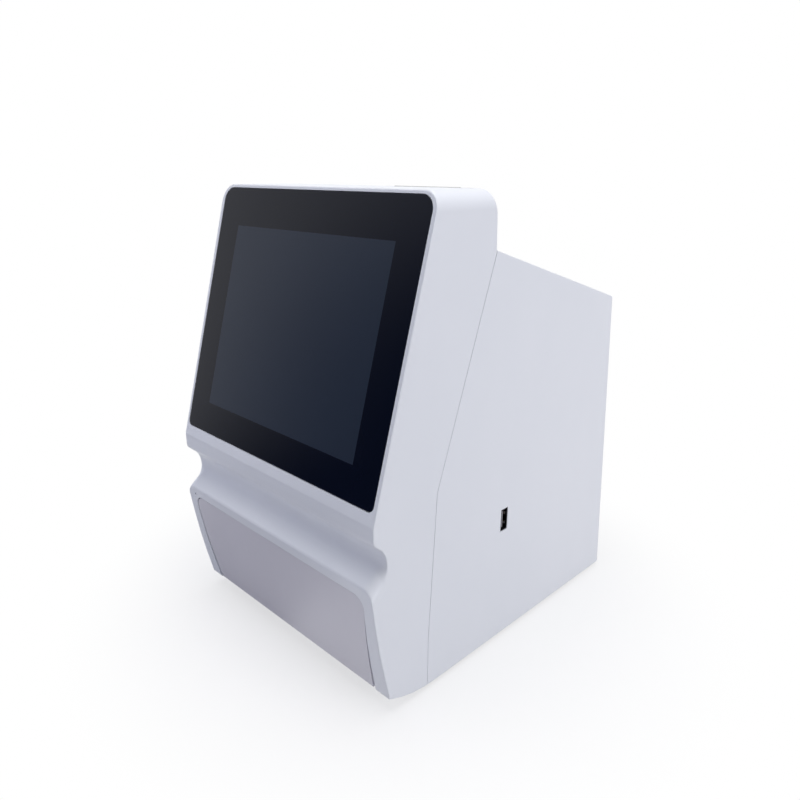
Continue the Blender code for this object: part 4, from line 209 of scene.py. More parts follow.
def crystalZinc(size):
    # zinc plated sheet: pale grey metal in soft crystals, each with its own tone and gloss
    made, tree, shader = newMaterial("zincPlatedSheet", Metallic=1.0)
    where = addNode(tree, "ShaderNodeTexCoord", (-1300, 0)).outputs["Object"]
    cells = addNode(tree, "ShaderNodeTexVoronoi", (-1100, 200), {
        "Vector": where, "Scale": 1 / (size["crystal"] * mm)})
    split = addNode(tree, "ShaderNodeSeparateColor", (-850, 200), {"Color": cells.outputs["Color"]})
    one = split.outputs["Red"]
    tone = addNode(tree, "ShaderNodeMix", (-400, 300), {
        "Factor": one, 6: linear(size["tones"][0]), 7: linear(size["tones"][1])}, data_type="RGBA")
    gloss = addNode(tree, "ShaderNodeMapRange", (-400, 0), {
        "Value": one, "To Min": size["roughness"][0], "To Max": size["roughness"][1]})
    grains = addNode(tree, "ShaderNodeTexNoise", (-850, -300), {
        "Vector": where, "Scale": 1 / (size["grain"] * mm)})
    bump = addNode(tree, "ShaderNodeBump", (-400, -300), {
        "Height": grains.outputs["Fac"], "Distance": size["depth"] * mm, "Strength": pattern["bumpStrength"]})
    tree.links.new(tone.outputs[2], shader.inputs["Base Color"])
    tree.links.new(gloss.outputs["Result"], shader.inputs["Roughness"])
    tree.links.new(bump.outputs["Normal"], shader.inputs["Normal"])
    return made


board = {
    "mask": ("#0f4527", "#1d6b3c"), "tin": "#c9cac8", "roughness": 0.28,
    "trackPitch": 2.6, "trackShare": 0.86, "trackHeight": 0.03,    # mm, a share of the pitch, mm
    "block": 9.0, "blockSpread": 0.6,                              # mm, how uneven the blocks are
    "crossBlocks": 0.5, "uprightBlocks": 0.66,                     # from where on a block's tracks turn
    "padPitch": 3.1, "padShare": 0.17, "padSpread": 0.75,
}


def solderMask(size):
    # glass epoxy board: glossy green mask, paler copper tracks drawn about twice as coarse as real ones so
    # that they show, in blocks that run different ways, and tinned pads
    made, tree, shader = newMaterial("greenSolderMask", Roughness=size["roughness"])
    where = addNode(tree, "ShaderNodeTexCoord", (-1900, 0)).outputs["Object"]
    tracks = []
    for row, way in enumerate("XYZ"):
        wave = addNode(tree, "ShaderNodeTexWave", (-1600, 500 - 250 * row), {
            "Vector": where, "Scale": math.pi / 10 / (size["trackPitch"] * mm), "Distortion": 0.0},
            bands_direction=way)
        tracks.append(addNode(tree, "ShaderNodeMath", (-1350, 500 - 250 * row), {
            0: wave.outputs["Fac"], 1: size["trackShare"]}, operation="GREATER_THAN").outputs[0])
    blocks = addNode(tree, "ShaderNodeTexVoronoi", (-1600, -300), {
        "Vector": where, "Scale": 1 / (size["block"] * mm), "Randomness": size["blockSpread"]},
        distance="CHEBYCHEV")
    pick = addNode(tree, "ShaderNodeSeparateColor", (-1350, -300), {"Color": blocks.outputs["Color"]})
    half = addNode(tree, "ShaderNodeMath", (-1150, -200), {
        0: pick.outputs["Red"], 1: size["crossBlocks"]}, operation="GREATER_THAN")
    third = addNode(tree, "ShaderNodeMath", (-1150, -400), {
        0: pick.outputs["Green"], 1: size["uprightBlocks"]}, operation="GREATER_THAN")
    first = addNode(tree, "ShaderNodeMix", (-950, 300), {
        "Factor": half.outputs[0], 2: tracks[0], 3: tracks[2]})
    both = addNode(tree, "ShaderNodeMix", (-800, 300), {
        "Factor": third.outputs[0], 2: first.outputs[0], 3: tracks[1]})
    dots = addNode(tree, "ShaderNodeTexVoronoi", (-1600, -600), {
        "Vector": where, "Scale": 1 / (size["padPitch"] * mm), "Randomness": size["padSpread"]})
    pads = addNode(tree, "ShaderNodeMath", (-1350, -600), {
        0: dots.outputs["Distance"], 1: size["padShare"]}, operation="LESS_THAN").outputs[0]
    mask = addNode(tree, "ShaderNodeMix", (-600, 300), {
        "Factor": both.outputs[0], 6: linear(size["mask"][0]), 7: linear(size["mask"][1])}, data_type="RGBA")
    tone = addNode(tree, "ShaderNodeMix", (-400, 300), {
        "Factor": pads, 6: mask.outputs[2], 7: linear(size["tin"])}, data_type="RGBA")
    bump = addNode(tree, "ShaderNodeBump", (-400, -300), {
        "Height": both.outputs[0], "Distance": size["trackHeight"] * mm, "Strength": pattern["bumpStrength"]})
    tree.links.new(tone.outputs[2], shader.inputs["Base Color"])
    tree.links.new(pads, shader.inputs["Metallic"])
    tree.links.new(bump.outputs["Normal"], shader.inputs["Normal"])
    return made


zincSheet = crystalZinc(zinc)
fibreBoard = solderMask(board)
looks = {
    "white_abs": shellAbs, "panel_abs": shadedPanelAbs, "black_glass": borderPrint, "display": displayOff,
    "zinc_steel": zincSheet, "bright_steel": brightSteel, "cast_aluminium": machinedAluminium,
    "black_plastic": blackAbs, "dark_tray": darkTray, "rubber": footRubber, "circuit_board": fibreBoard,
    "paper": thermalPaper, "acetal": acetal,
}
print("Materials made:", len(bpy.data.materials))


# Shapes are made in millimetres, and show() turns them into metres on the object

def newShape():
    return bmesh.new()


def paint(made, index):
    faces = {face for vert in made["verts"] for face in vert.link_faces}
    for face in faces:
        face.material_index = index


def block(bm, low, high, index=0):
    low, high = Vector(low), Vector(high)
    place = Matrix.Translation((low + high) / 2) @ Matrix.Diagonal((high - low).to_4d())
    place[3][3] = 1.0
    made = bmesh.ops.create_cube(bm, size=1, matrix=place)
    paint(made, index)
    return made["verts"]


def sliceAt(bm, point, normal):
    bmesh.ops.bisect_plane(bm, geom=bm.verts[:] + bm.edges[:] + bm.faces[:], plane_co=point, plane_no=normal)


def boxOf(name):
    low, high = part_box(name)
    return Vector(low) / mm, Vector(high) / mm


towards = {"X": Matrix.Rotation(math.radians(90), 4, "Y"), "Y": Matrix.Rotation(math.radians(-90), 4, "X"),
           "Z": Matrix.Identity(4)}


def rod(bm, start, axis, radius, length, sides=24, index=0):
    # a round bar that runs from start along +axis
    place = Matrix.Translation(start) @ towards[axis] @ Matrix.Translation((0, 0, length / 2))
    made = bmesh.ops.create_cone(bm, cap_ends=True, segments=sides, radius1=radius, radius2=radius,
                                 depth=length, matrix=place)
    paint(made, index)
    return made["verts"]


def turned(bm, outline, start, axis, sides=32, index=0):
    # a shape turned on the lathe: outline is (radius, height) from start along axis
    verts = [bm.verts.new((radius, 0, height)) for radius, height in outline]
    edges = [bm.edges.new(pair) for pair in zip(verts, verts[1:])]
    spun = bmesh.ops.spin(bm, geom=verts + edges, cent=(0, 0, 0), axis=(0, 0, 1), angle=math.tau,
                          steps=sides, use_merge=True)
    made = {v for v in spun["geom_last"] if isinstance(v, bmesh.types.BMVert)} | set(verts)
    made = {v for v in made if v.is_valid}
    grown = set(made)
    while True:
        more = {other for v in made for edge in v.link_edges for other in edge.verts} - grown
        if not more:
            break
        grown |= more
        made = more
    grown = list(grown)
    bmesh.ops.remove_doubles(bm, verts=grown, dist=0.001)
    grown = [v for v in grown if v.is_valid]
    faces = list({face for v in grown for face in v.link_faces})
    for face in faces:
        face.material_index = index
    bmesh.ops.recalc_face_normals(bm, faces=faces)
    bmesh.ops.transform(bm, matrix=Matrix.Translation(start) @ towards[axis], verts=grown)
    return grown


def show(bm, name, material, body, standsFor=(), rounding=0.0, segments=2, sharp=35, place=None):
    # turn a bmesh in millimetres into a finished piece that rides on a CAD body; rounding in mm, and edges
    # over sharp degrees are rounded and stay crisp
    if place is not None:
        bmesh.ops.transform(bm, matrix=place, verts=bm.verts)
    bmesh.ops.scale(bm, vec=(mm, mm, mm), verts=bm.verts)
    mesh = bpy.data.meshes.new(name)
    bm.to_mesh(mesh)
    bm.free()
    for each in (material if isinstance(material, list) else [material]):
        mesh.materials.append(each)
    mesh.shade_smooth()
    mesh.set_sharp_from_angle(angle=math.radians(sharp))
    made = bpy.data.objects.new(name, mesh)
    bpy.context.scene.collection.objects.link(made)
    if rounding:
        soft = made.modifiers.new("soften", "BEVEL")
        soft.width = rounding * mm
        soft.segments = segments
        soft.limit_method = "ANGLE"
        soft.angle_limit = math.radians(sharp)
        even = made.modifiers.new("evenFlats", "WEIGHTED_NORMAL")    # keeps flats flat beside soft edges
        even.keep_sharp = True
    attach(made, body)
    if standsFor:
        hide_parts(*standsFor)
    return made


# The leaning screen and the leaning rear wall each have their own frame: x across, z up the face, and y into
# the body at the screen and out of it at the rear

leans = {"screenFoot": (0, -127.1, 141.7), "screenTurn": -15.7, "rearFoot": (0, 131.0, 2.5), "rearTurn": 4.8}
screenTurn = Matrix.Rotation(math.radians(leans["screenTurn"]), 4, "X")
screenPlace = Matrix.Translation(leans["screenFoot"]) @ screenTurn
rearPlace = Matrix.Translation(leans["rearFoot"]) @ Matrix.Rotation(math.radians(leans["rearTurn"]), 4, "X")


# Plain CAD shapes: merged copies with softened edges. On a board, what stands off the sheet is a dark chip

edgeRounding = {"drawer_tray": 0.5, "optical_block": 0.6, "printer_lid": 0.5, "drive_pinion": 0.12,
                "drawer_rack": 0.12, "feed_gear": 0.06, "platen_roller": 0.06, "other": 0.25}    # mm
# the side socket's shell takes plated steel painted near black, as painted shade inside the socket
ownLook = {"side_usb_tongue": tongueAbs, "side_usb_shell": shadedSocketSteel, "disc_hub": turnedAluminium}
boardFace = {    # the way it faces, and how far that way its face lies in mm, or None for a sheet's thickness
    "main_board": (Vector((0, 1, 0)), 73.15), "screen_board": (screenTurn.to_3x3() @ Vector((0, 1, 0)), None),
    "detector_board": (Vector((0, 0, 1)), 86.05), "power_board": (Vector((0, 0, 1)), 13.3),
}
cleanUp = {"merge": 0.01, "flatWithin": 0.4, "boardSheet": 1.65}    # mm, degrees, mm


def finishedCopy(name):
    bm = newShape()
    bm.from_mesh(nodes[name].data)
    bmesh.ops.scale(bm, vec=(1 / mm, 1 / mm, 1 / mm), verts=bm.verts)
    bmesh.ops.remove_doubles(bm, verts=bm.verts, dist=cleanUp["merge"])
    bmesh.ops.dissolve_limit(bm, angle_limit=math.radians(cleanUp["flatWithin"]), verts=bm.verts,
                             edges=bm.edges)
    material = ownLook.get(name, looks[slotOf[name]])
    if name in boardFace:
        facing, level = boardFace[name]
        if level is None:
            level = min(vert.co.dot(facing) for vert in bm.verts) + cleanUp["boardSheet"]
        for face in bm.faces:
            face.material_index = int(face.calc_center_median().dot(facing) > level)
        material = [material, chipEpoxy]
    show(bm, name + "_finished", material, bodyOf[name], [name],
         edgeRounding.get(name, edgeRounding["other"]))



remade = {"cover_glass", "fan_rotor", "tear_bar"}
for name in sorted(set(nodes) - remade):
    finishedCopy(name)
print("Finished copies:", len(nodes) - len(remade))


# Cover glass: one toughened sheet, black print behind its border, the unlit display area clear

glass = {"width": 199.0, "length": 172.43, "sink": 0.1, "thickness": 1.8, "topRadius": 9.0, "footRadius": 4.0,
         "cornerSteps": 10, "edge": 0.35, "edgeSteps": 3,
         "window": (-77.25, 77.25, 21.2, 146.9)}    # mm, window is left, right, foot, top


def coverGlass(size):
    bm = newShape()
    bmesh.ops.create_grid(bm, x_segments=1, y_segments=1, size=0.5,
                          matrix=Matrix.Rotation(math.radians(90), 4, "X"))
    bmesh.ops.scale(bm, vec=(size["width"], 1, size["length"]), verts=bm.verts)
    bmesh.ops.translate(bm, vec=(0, size["sink"], size["length"] / 2), verts=bm.verts)
    corners = list(bm.verts)
    for radius, chosen in ((size["topRadius"], [v for v in corners if v.co.z > size["length"] / 2]),
                           (size["footRadius"], [v for v in corners if v.co.z < size["length"] / 2])):
        bmesh.ops.bevel(bm, geom=chosen, offset=radius, segments=size["cornerSteps"], profile=0.5,
                        affect="VERTICES", material=-1)
    left, right, foot, top = size["window"]
    for point, normal in (((left, 0, 0), (1, 0, 0)), ((right, 0, 0), (1, 0, 0)),
                          ((0, 0, foot), (0, 0, 1)), ((0, 0, top), (0, 0, 1))):
        sliceAt(bm, point, normal)
    for face in bm.faces:
        middle = face.calc_center_median()
        face.material_index = int(left < middle.x < right and foot < middle.z < top)
    grown = bmesh.ops.extrude_face_region(bm, geom=bm.faces[:])
    bmesh.ops.translate(bm, vec=(0, size["thickness"], 0),
                        verts=[v for v in grown["geom"] if isinstance(v, bmesh.types.BMVert)])
    bmesh.ops.recalc_face_normals(bm, faces=bm.faces)
    show(bm, "coverGlass", [borderPrint, displayOff], "housing", ["cover_glass"],
         rounding=size["edge"], segments=size["edgeSteps"], place=screenPlace)


coverGlass(glass)
print("Cover glass made")


# Upright socket in the right side: four gold pads on its tongue and the shell's two spring tabs

sideSocket = {"pads": 4, "padLength": 8.6, "padWidth": 1.2, "padPitch": 2.6, "padRise": 0.06, "padSink": 0.1,
              "padInset": 0.3, "tabOffset": 3.4, "tabInset": 1.2, "tabDepth": (-0.75, -0.5), "tabLength": 5.0,
              "tabHeight": 2.4, "tabBow": 0.45}    # mm


def sideSocketDetails(size):
    low, high = boxOf("side_usb_tongue")
    middle = (low.z + high.z) / 2
    bm = newShape()
    end = high.x - size["padInset"]
    for row in range(size["pads"]):
        z = middle + (row - (size["pads"] - 1) / 2) * size["padPitch"]
        block(bm, (end - size["padLength"], high.y - size["padSink"], z - size["padWidth"] / 2),
              (end, high.y + size["padRise"], z + size["padWidth"] / 2))
    show(bm, "sideSocketContacts", goldContact, "housing")
    low, high = boxOf("side_usb_shell")
    end = high.x - size["tabInset"]
    bm = newShape()
    for z in (middle - size["tabOffset"], middle + size["tabOffset"]):
        tab = block(bm, (end - size["tabLength"], high.y + size["tabDepth"][0], z - size["tabHeight"] / 2),
                    (end, high.y + size["tabDepth"][1], z + size["tabHeight"] / 2))
        edges = list({edge for vert in tab for edge in vert.link_edges
                      if abs(edge.verts[0].co.x - edge.verts[1].co.x) > 1})    # its long ones
        cuts = bmesh.ops.subdivide_edges(bm, edges=edges, cuts=3)
        for vert in [v for v in cuts["geom_inner"] if isinstance(v, bmesh.types.BMVert)]:
            along = abs(vert.co.x - (end - size["tabLength"] / 2)) / (size["tabLength"] / 2)
            vert.co.y -= size["tabBow"] * (1 - along ** 2)
    show(bm, "sideSocketTabs", brightSteel, "housing")


sideSocketDetails(sideSocket)


# Rear sockets: network contacts and lamps, the inlet's sleeve and pin, and the marks on the mains rocker

network = {
    "x": -46.0, "rise": 46.0, "mouth": (11.8, 8.2, 13.0), "liner": 0.35, "front": -0.5,    # mm
    "ledge": (1.0, 1.6, -4.2),                        # in from the sides, height, where it ends
    "contacts": 8, "contactPitch": 1.02, "contactWidth": 0.36, "contactHalf": 0.16,
    "contactEnds": (-11.8, -3.4), "contactDrop": 1.7, "contactLean": 16,    # mm, mm, degrees
    "lampOffset": 5.6, "lampHalf": 1.2, "lampDepth": (-0.9, 0.02), "lampDrop": (2.1, 0.7),
}


def networkDetails(size):
    x, z = size["x"], size["rise"]
    width, height, depth = size["mouth"]
    left, right, foot, top = x - width / 2, x + width / 2, z - height / 2, z + height / 2
    liner, front = size["liner"], size["front"]
    bm = newShape()
    block(bm, (left, -depth, foot), (left + liner, front, top))
    block(bm, (right - liner, -depth, foot), (right, front, top))
    block(bm, (left, -depth, foot), (right, front, foot + liner))
    block(bm, (left, -depth, top - liner), (right, front, top))
    block(bm, (left, -depth, foot), (right, -depth + liner, top))
    inset, ledgeHeight, ledgeEnd = size["ledge"]
    block(bm, (left + inset, -depth, top - ledgeHeight), (right - inset, ledgeEnd, top))
    show(bm, "networkInsert", blackAbs, "housing", rounding=0.08, place=rearPlace)
    bm = newShape()
    half, thin = size["contactWidth"] / 2, size["contactHalf"]
    rearEnd, frontEnd = size["contactEnds"]
    lean = Matrix.Rotation(math.radians(size["contactLean"]), 3, "X")
    for i in range(size["contacts"]):
        across = x + (i - (size["contacts"] - 1) / 2) * size["contactPitch"]
        wire = block(bm, (across - half, rearEnd, -thin), (across + half, frontEnd, thin))
        bmesh.ops.rotate(bm, cent=(across, frontEnd, 0), matrix=lean, verts=wire)
        bmesh.ops.translate(bm, vec=(0, 0, top - size["contactDrop"]), verts=wire)
    show(bm, "networkContacts", goldContact, "housing", place=rearPlace)
    for side, lens, name in ((-1, greenLens, "networkLinkLamp"), (1, amberLens, "networkTrafficLamp")):
        middle = x + side * size["lampOffset"]
        bm = newShape()
        block(bm, (middle - size["lampHalf"], size["lampDepth"][0], foot - size["lampDrop"][0]),
              (middle + size["lampHalf"], size["lampDepth"][1], foot - size["lampDrop"][1]))
        show(bm, name, lens, "housing", rounding=0.2, place=rearPlace)


inlet = {"x": 10.0, "rise": 46.0, "bore": 3.2, "depth": 9.0, "sink": 0.1, "sleeve": 0.35, "sleeveEnd": 0.5,
         "pinRadius": 1.06, "pinTip": ((1.06, 1.6), (0.8, 1.0), (0, 0.8))}    # mm, tip is radius, short by


def inletDetails(size):
    bore, depth = size["bore"], size["depth"]
    foot = (size["x"], -depth - size["sink"], size["rise"])
    inner, end = bore - size["sleeve"], depth - size["sleeveEnd"]
    bm = newShape()
    turned(bm, [(bore, 0), (bore, end), (inner, end), (inner, 0), (bore, 0)], foot, "Y", 32)
    tip = [(radius, depth - short) for radius, short in size["pinTip"]]
    turned(bm, [(0, 0), (size["pinRadius"], 0)] + tip, foot, "Y", 16)
    show(bm, "inletSleeveAndPin", brightSteel, "housing", place=rearPlace)


rocker = {"x": 52.0, "rise": 46.0, "axis": -1.0, "tip": -8.0, "slope": 15.75,           # mm, mm, mm, degrees
          "markX": 4.3, "markY": 1.95, "markHeight": 3.4, "markWidth": 0.6,
          "markFoot": -0.05, "barTop": 0.04, "ringTop": 0.09}


def rockerMarks(size):
    outer = size["markHeight"] / 2
    inner = outer - size["markWidth"]
    foot, top = size["markFoot"], size["ringTop"]
    bm = newShape()
    bar = block(bm, (-size["markWidth"] / 2, foot, -outer), (size["markWidth"] / 2, size["barTop"], outer))
    ringMark = turned(bm, [(inner, 0), (outer, 0), (outer, top), (inner, top), (inner, 0)],
                      (0, foot, 0), "Y", 32)
    for verts, side in ((bar, 1), (ringMark, -1)):
        lean = Matrix.Rotation(math.radians(side * size["slope"]), 4, "Z")
        onto = Matrix.Translation((side * size["markX"], size["markY"], 0))
        bmesh.ops.transform(bm, matrix=onto @ lean, verts=verts)
    tip = Matrix.Translation((size["x"], size["axis"], size["rise"]))
    tip = tip @ Matrix.Rotation(math.radians(size["tip"]), 4, "Z") @ Matrix.Translation((0, -size["axis"], 0))
    show(bm, "rockerMarks", whitePrint, "rocker", place=rearPlace @ tip)


networkDetails(network)
inletDetails(inlet)
rockerMarks(rocker)
print("Sockets finished")


# Fan: a hub with seven cambered, twisted blades, and the rivets that hold its frame to the rear panel

fan = {
    "rise": 150.0, "hubBack": -14.6, "hubLength": 11.8, "hubRadius": 12.5, "hubRims": (0.8, 0.9),    # mm
    "dish": (4.2, 3.8, 0.5),                      # radius at its rim and floor, depth
    "blades": 7, "rootSink": 1.5, "tipRadius": 27.1,
    "chord": (11.0, 13.6), "pitch": (50, 30),     # mm and degrees, at the hub and at the tip
    "camber": 1.3, "thickness": 1.0, "rivetReach": 25.0, "rivetSink": 0.12,
    "rivet": ((0, 0), (2.3, 0), (2.2, 0.35), (1.7, 0.72), (0.9, 0.93), (0.35, 0.96), (0.3, 0.6), (0, 0.6)),
}


def fanRotor(size):
    bm = newShape()
    radius, length = size["hubRadius"], size["hubLength"]
    near, far = size["hubRims"]
    rim, floor, deep = size["dish"]
    turned(bm, [(0, 0), (radius - near, 0), (radius, near), (radius, length - far), (radius - far, length),
                (rim, length), (floor, length - deep), (0, length - deep)], (0, size["hubBack"], 0), "Y", 48)
    for number in range(size["blades"]):
        blade = bmesh.ops.create_grid(bm, x_segments=7, y_segments=8, size=0.5)["verts"]
        for vert in blade:
            out = vert.co.y + 0.5
            reach = radius - size["rootSink"] + out * (size["tipRadius"] - radius + size["rootSink"])
            chord = size["chord"][0] + out * (size["chord"][1] - size["chord"][0])
            pitch = math.radians(size["pitch"][0] + out * (size["pitch"][1] - size["pitch"][0]))
            along, lift = vert.co.x * chord, size["camber"] * (1 - 4 * vert.co.x ** 2)
            x = along * math.cos(pitch) - lift * math.sin(pitch)
            y = along * math.sin(pitch) + lift * math.cos(pitch)
            vert.co = (x, y, math.sqrt(reach ** 2 - x ** 2))
        faces = list({face for vert in blade for face in vert.link_faces})
        solid = bmesh.ops.solidify(bm, geom=faces, thickness=size["thickness"])
        verts = {v for v in solid["geom"] if isinstance(v, bmesh.types.BMVert)} | set(blade)
        bmesh.ops.recalc_face_normals(bm, faces=list({face for vert in verts for face in vert.link_faces}))
        turn = Matrix.Rotation(math.tau * number / size["blades"], 4, "Y")
        middle = Matrix.Translation((0, size["hubBack"] + size["hubLength"] / 2, 0))
        bmesh.ops.transform(bm, matrix=middle @ turn, verts=list(verts))
    bmesh.ops.translate(bm, vec=(0, 0, size["rise"]), verts=bm.verts)
    show(bm, "fanRotor", blackAbs, "fan", ["fan_rotor"], sharp=30, place=rearPlace)


def fanRivets(size):
    bm = newShape()
    for x in (-size["rivetReach"], size["rivetReach"]):
        for z in (size["rise"] - size["rivetReach"], size["rise"] + size["rivetReach"]):
            turned(bm, size["rivet"], (x, -size["rivetSink"], z), "Y", 24)
    show(bm, "fanRivets", blackAbs, "housing", place=rearPlace)


fanRotor(fan)
fanRivets(fan)
print("Fan finished")


# Printer: serrated tear bar, paper web from the roll to the slit, roll core, heating line

printer = {
    "toothPitch": 1.5, "toothDepth": 0.8, "paperHalf": 28.3, "paper": 0.08,    # mm
    "web": ((-42.40, 281.8), (-42.05, 286.0), (-41.70, 292.0), (-41.58, 298.0), (-41.58, 304.2),
            (-41.2, 305.6), (-40.2, 307.2), (-39.72, 308.4), (-39.66, 309.3)),    # y and z from roll to slit
    "coreRadius": 4.0, "coreBore": 3.2, "coreStands": 0.2, "coreEdge": 0.15,
    "layers": 10, "layerReach": 12.6, "layerWidth": 0.16, "layerHeight": 0.08, "layerSinks": (0.06, 0.02),
    "lineInset": 1.0, "lineRise": (302.1, 303.9), "lineDepth": 0.1,
}


def tearBar(size):
    low, high = boxOf("tear_bar")
    bm = newShape()
    block(bm, low, high)
    steps = round((high.x - low.x) / size["toothPitch"]) * 2
    for i in range(1, steps):
        sliceAt(bm, (low.x + (high.x - low.x) * i / steps, 0, 0), (1, 0, 0))
    half = (high.x - low.x) / steps
    for vert in bm.verts:
        number = round((vert.co.x - low.x) / half)
        if vert.co.z > high.z - 0.01 and number % 2 == 0:
            vert.co.z -= size["toothDepth"]
    show(bm, "tearBar", brightSteel, "housing", ["tear_bar"], sharp=25)


def paperWeb(size):
    low, high = boxOf("paper_roll")
    middle = (low.x + high.x) / 2
    bm = newShape()
    verts = [bm.verts.new((middle - size["paperHalf"], y, z)) for y, z in size["web"]]
    edges = [bm.edges.new(pair) for pair in zip(verts, verts[1:])]
    wide = bmesh.ops.extrude_edge_only(bm, edges=edges)
    bmesh.ops.translate(bm, vec=(2 * size["paperHalf"], 0, 0),
                        verts=[v for v in wide["geom"] if isinstance(v, bmesh.types.BMVert)])
    bmesh.ops.solidify(bm, geom=bm.faces[:], thickness=size["paper"])
    bmesh.ops.recalc_face_normals(bm, faces=bm.faces)
    show(bm, "paperWeb", thermalPaper, "housing", sharp=60)


def rollCore(size):
    low, high = boxOf("paper_roll")
    middle, outer, inner = (low + high) / 2, size["coreRadius"], size["coreBore"]
    stands, edge = size["coreStands"], size["coreEdge"]
    length = high.x - low.x + 2 * stands
    bm = newShape()
    turned(bm, [(inner, 0), (outer - edge, 0), (outer, edge), (outer, length - edge), (outer - edge, length),
                (inner, length), (inner, 0)], (low.x - stands, middle.y, middle.z), "X", 32)
    thick = size["layerHeight"]
    for end in (low.x - size["layerSinks"][0], high.x - size["layerSinks"][1]):
        for step in range(1, size["layers"]):
            near = outer + step * (size["layerReach"] - outer) / size["layers"]
            far = near + size["layerWidth"]
            turned(bm, [(near, 0), (far, 0), (far, thick), (near, thick), (near, 0)],
                   (end, middle.y, middle.z), "X", 48)
    show(bm, "rollCoreAndLayers", cardboard, "roll", sharp=30)


def heatingLine(size):
    low, high = boxOf("print_head")
    bm = newShape()
    block(bm, (low.x + size["lineInset"], low.y - size["lineDepth"], size["lineRise"][0]),
          (high.x - size["lineInset"], low.y + size["lineDepth"], size["lineRise"][1]))
    show(bm, "heatingLine", heaterGlaze, "housing", rounding=0.08)


tearBar(printer)
paperWeb(printer)
rollCore(printer)
heatingLine(printer)
print("Printer finished")


# Drawer: the turntable's sprung balls and drive pins, and the screws that hold the motor under the tray

drawer = {
    "discY": -62.0, "hubTop": 42.4, "trayTop": 50.0,
    "balls": 3, "ballRadius": 1.0, "ballReach": 5.0, "ballRise": 2.0,
    "pinReach": 9.0, "pinRise": 0.8, "pin": ((0, 0), (0.9, 0), (0.9, 2.1), (0.6, 2.6), (0, 2.7)),
    "screwReach": (58, 40), "screwSink": 0.02,
    "headRadius": 2.7, "headHeight": 1.3, "slotReach": 0.55, "slotHalf": 0.28, "slotDepth": 0.3,
    "dome": ((0, 0), (1, 0), (1, 0.35), (0.8, 0.8), (0.5, 1), (0, 1)),    # shares of its radius and height
}


def hubDetails(size):
    bm = newShape()
    for i in range(size["balls"]):
        angle = math.tau * (i + 0.5) / size["balls"]
        x, y = size["ballReach"] * math.cos(angle), size["ballReach"] * math.sin(angle) + size["discY"]
        bmesh.ops.create_icosphere(bm, subdivisions=3, radius=size["ballRadius"],
                                   matrix=Matrix.Translation((x, y, size["hubTop"] + size["ballRise"])))
        angle = math.tau * i / size["balls"]
        x, y = size["pinReach"] * math.cos(angle), size["pinReach"] * math.sin(angle) + size["discY"]
        turned(bm, size["pin"], (x, y, size["hubTop"] + size["pinRise"]), "Z", 16)
    show(bm, "hubBallsAndPins", brightSteel, "disc")


def crossHead(bm, centre, size):
    # a domed screw head with a cross cut in it, standing on centre
    radius, height = size["headRadius"], size["headHeight"]
    turned(bm, [(radius * out, height * up) for out, up in size["dome"]], centre, "Z", 24)
    x, y, z = centre
    top, floor = z + height + size["screwSink"], z + height - size["slotDepth"]
    reach, half = radius * size["slotReach"], size["slotHalf"]
    for wide, deep in ((reach, half), (half, reach)):
        block(bm, (x - wide, y - deep, floor), (x + wide, y + deep, top), index=1)


def trayScrews(size):
    bm = newShape()
    for x in (-size["screwReach"][0], size["screwReach"][0]):
        for y in (size["discY"] - size["screwReach"][1], size["discY"] + size["screwReach"][1]):
            crossHead(bm, (x, y, size["trayTop"] - size["screwSink"]), size)
    show(bm, "trayScrews", [brightSteel, blackAbs], "drawer")


hubDetails(drawer)
trayScrews(drawer)
print("Drawer finished")


# Measuring head: lens in its barrel, reader window, and the flash lamp's cooling rings

measuring = {
    "lens": ((0, 0), (3.9, 0), (3.9, 1.6), (3.0, 2.2), (1.6, 2.65), (0, 2.8)), "lensRise": 2.0,    # mm
    "windowHalf": 4.9, "windowRise": (0.6, 1.6),
    "ring": ((10.8, 0), (11.5, 0.15), (11.5, 0.85), (10.8, 1.0), (10.8, 0)),
    "rings": 6, "ringPitch": 2.2, "ringAxis": 12.5,    # the last one above the lamp's foot
}


def measuringDetails(size):
    low, high = boxOf("lens_barrel")
    middle = (low + high) / 2
    bm = newShape()
    turned(bm, size["lens"], (middle.x, middle.y, low.z + size["lensRise"]), "Z", 32)
    show(bm, "condenserLens", lensGlass, "housing", sharp=40)
    low, high = boxOf("code_reader")
    middle, half = (low + high) / 2, size["windowHalf"]
    foot, top = size["windowRise"]
    bm = newShape()
    block(bm, (middle.x - half, middle.y - half, low.z + foot),
          (middle.x + half, middle.y + half, low.z + top))
    show(bm, "readerWindow", readerGlass, "housing", rounding=0.2)
    low = boxOf("flash_lamp")[0]
    bm = newShape()
    for ring in range(size["rings"]):
        y = low.y + size["ringPitch"] + ring * size["ringPitch"]
        turned(bm, size["ring"], (0, y, low.z + size["ringAxis"]), "Y", 48)
    show(bm, "lampCoolingRings", machinedAluminium, "housing")


measuringDetails(measuring)
print("Measuring head finished")


# Boards: legs round each chip, plug headers, and the power board's winding and cans. Each is made flat, and
# upright turns it onto its board's face

boards = {
    "chip": 14.0, "legs": 8, "legPitch": 1.4, "leg": (0.5, 1.3, 0.5), "legRoot": 0.1, "tuck": 0.02,    # mm
    "mainFace": 73.1, "mainChips": (-37.5, 0.0, 37.5), "mainMiddle": 117.5, "sheet": 1.6,
    "mainPlugs": ((-58, 72, 8), (-30, 72, 6), (12, 72, 10), (52, 72, 6),
                  (-50, 164, 10), (-8, 164, 6), (48, 164, 4)),    # x, z, pins
    "detectorPlug": (-18, 5, 4),                                  # x, in from the front edge, pins
    "pinPitch": 2.0, "pinHalf": 0.25, "pinTop": 5.4,
    "plugHalf": 2.9, "plugWall": 0.7, "plugFloor": 1.4, "plugTop": 6.0, "plugEnds": 1.6,
}


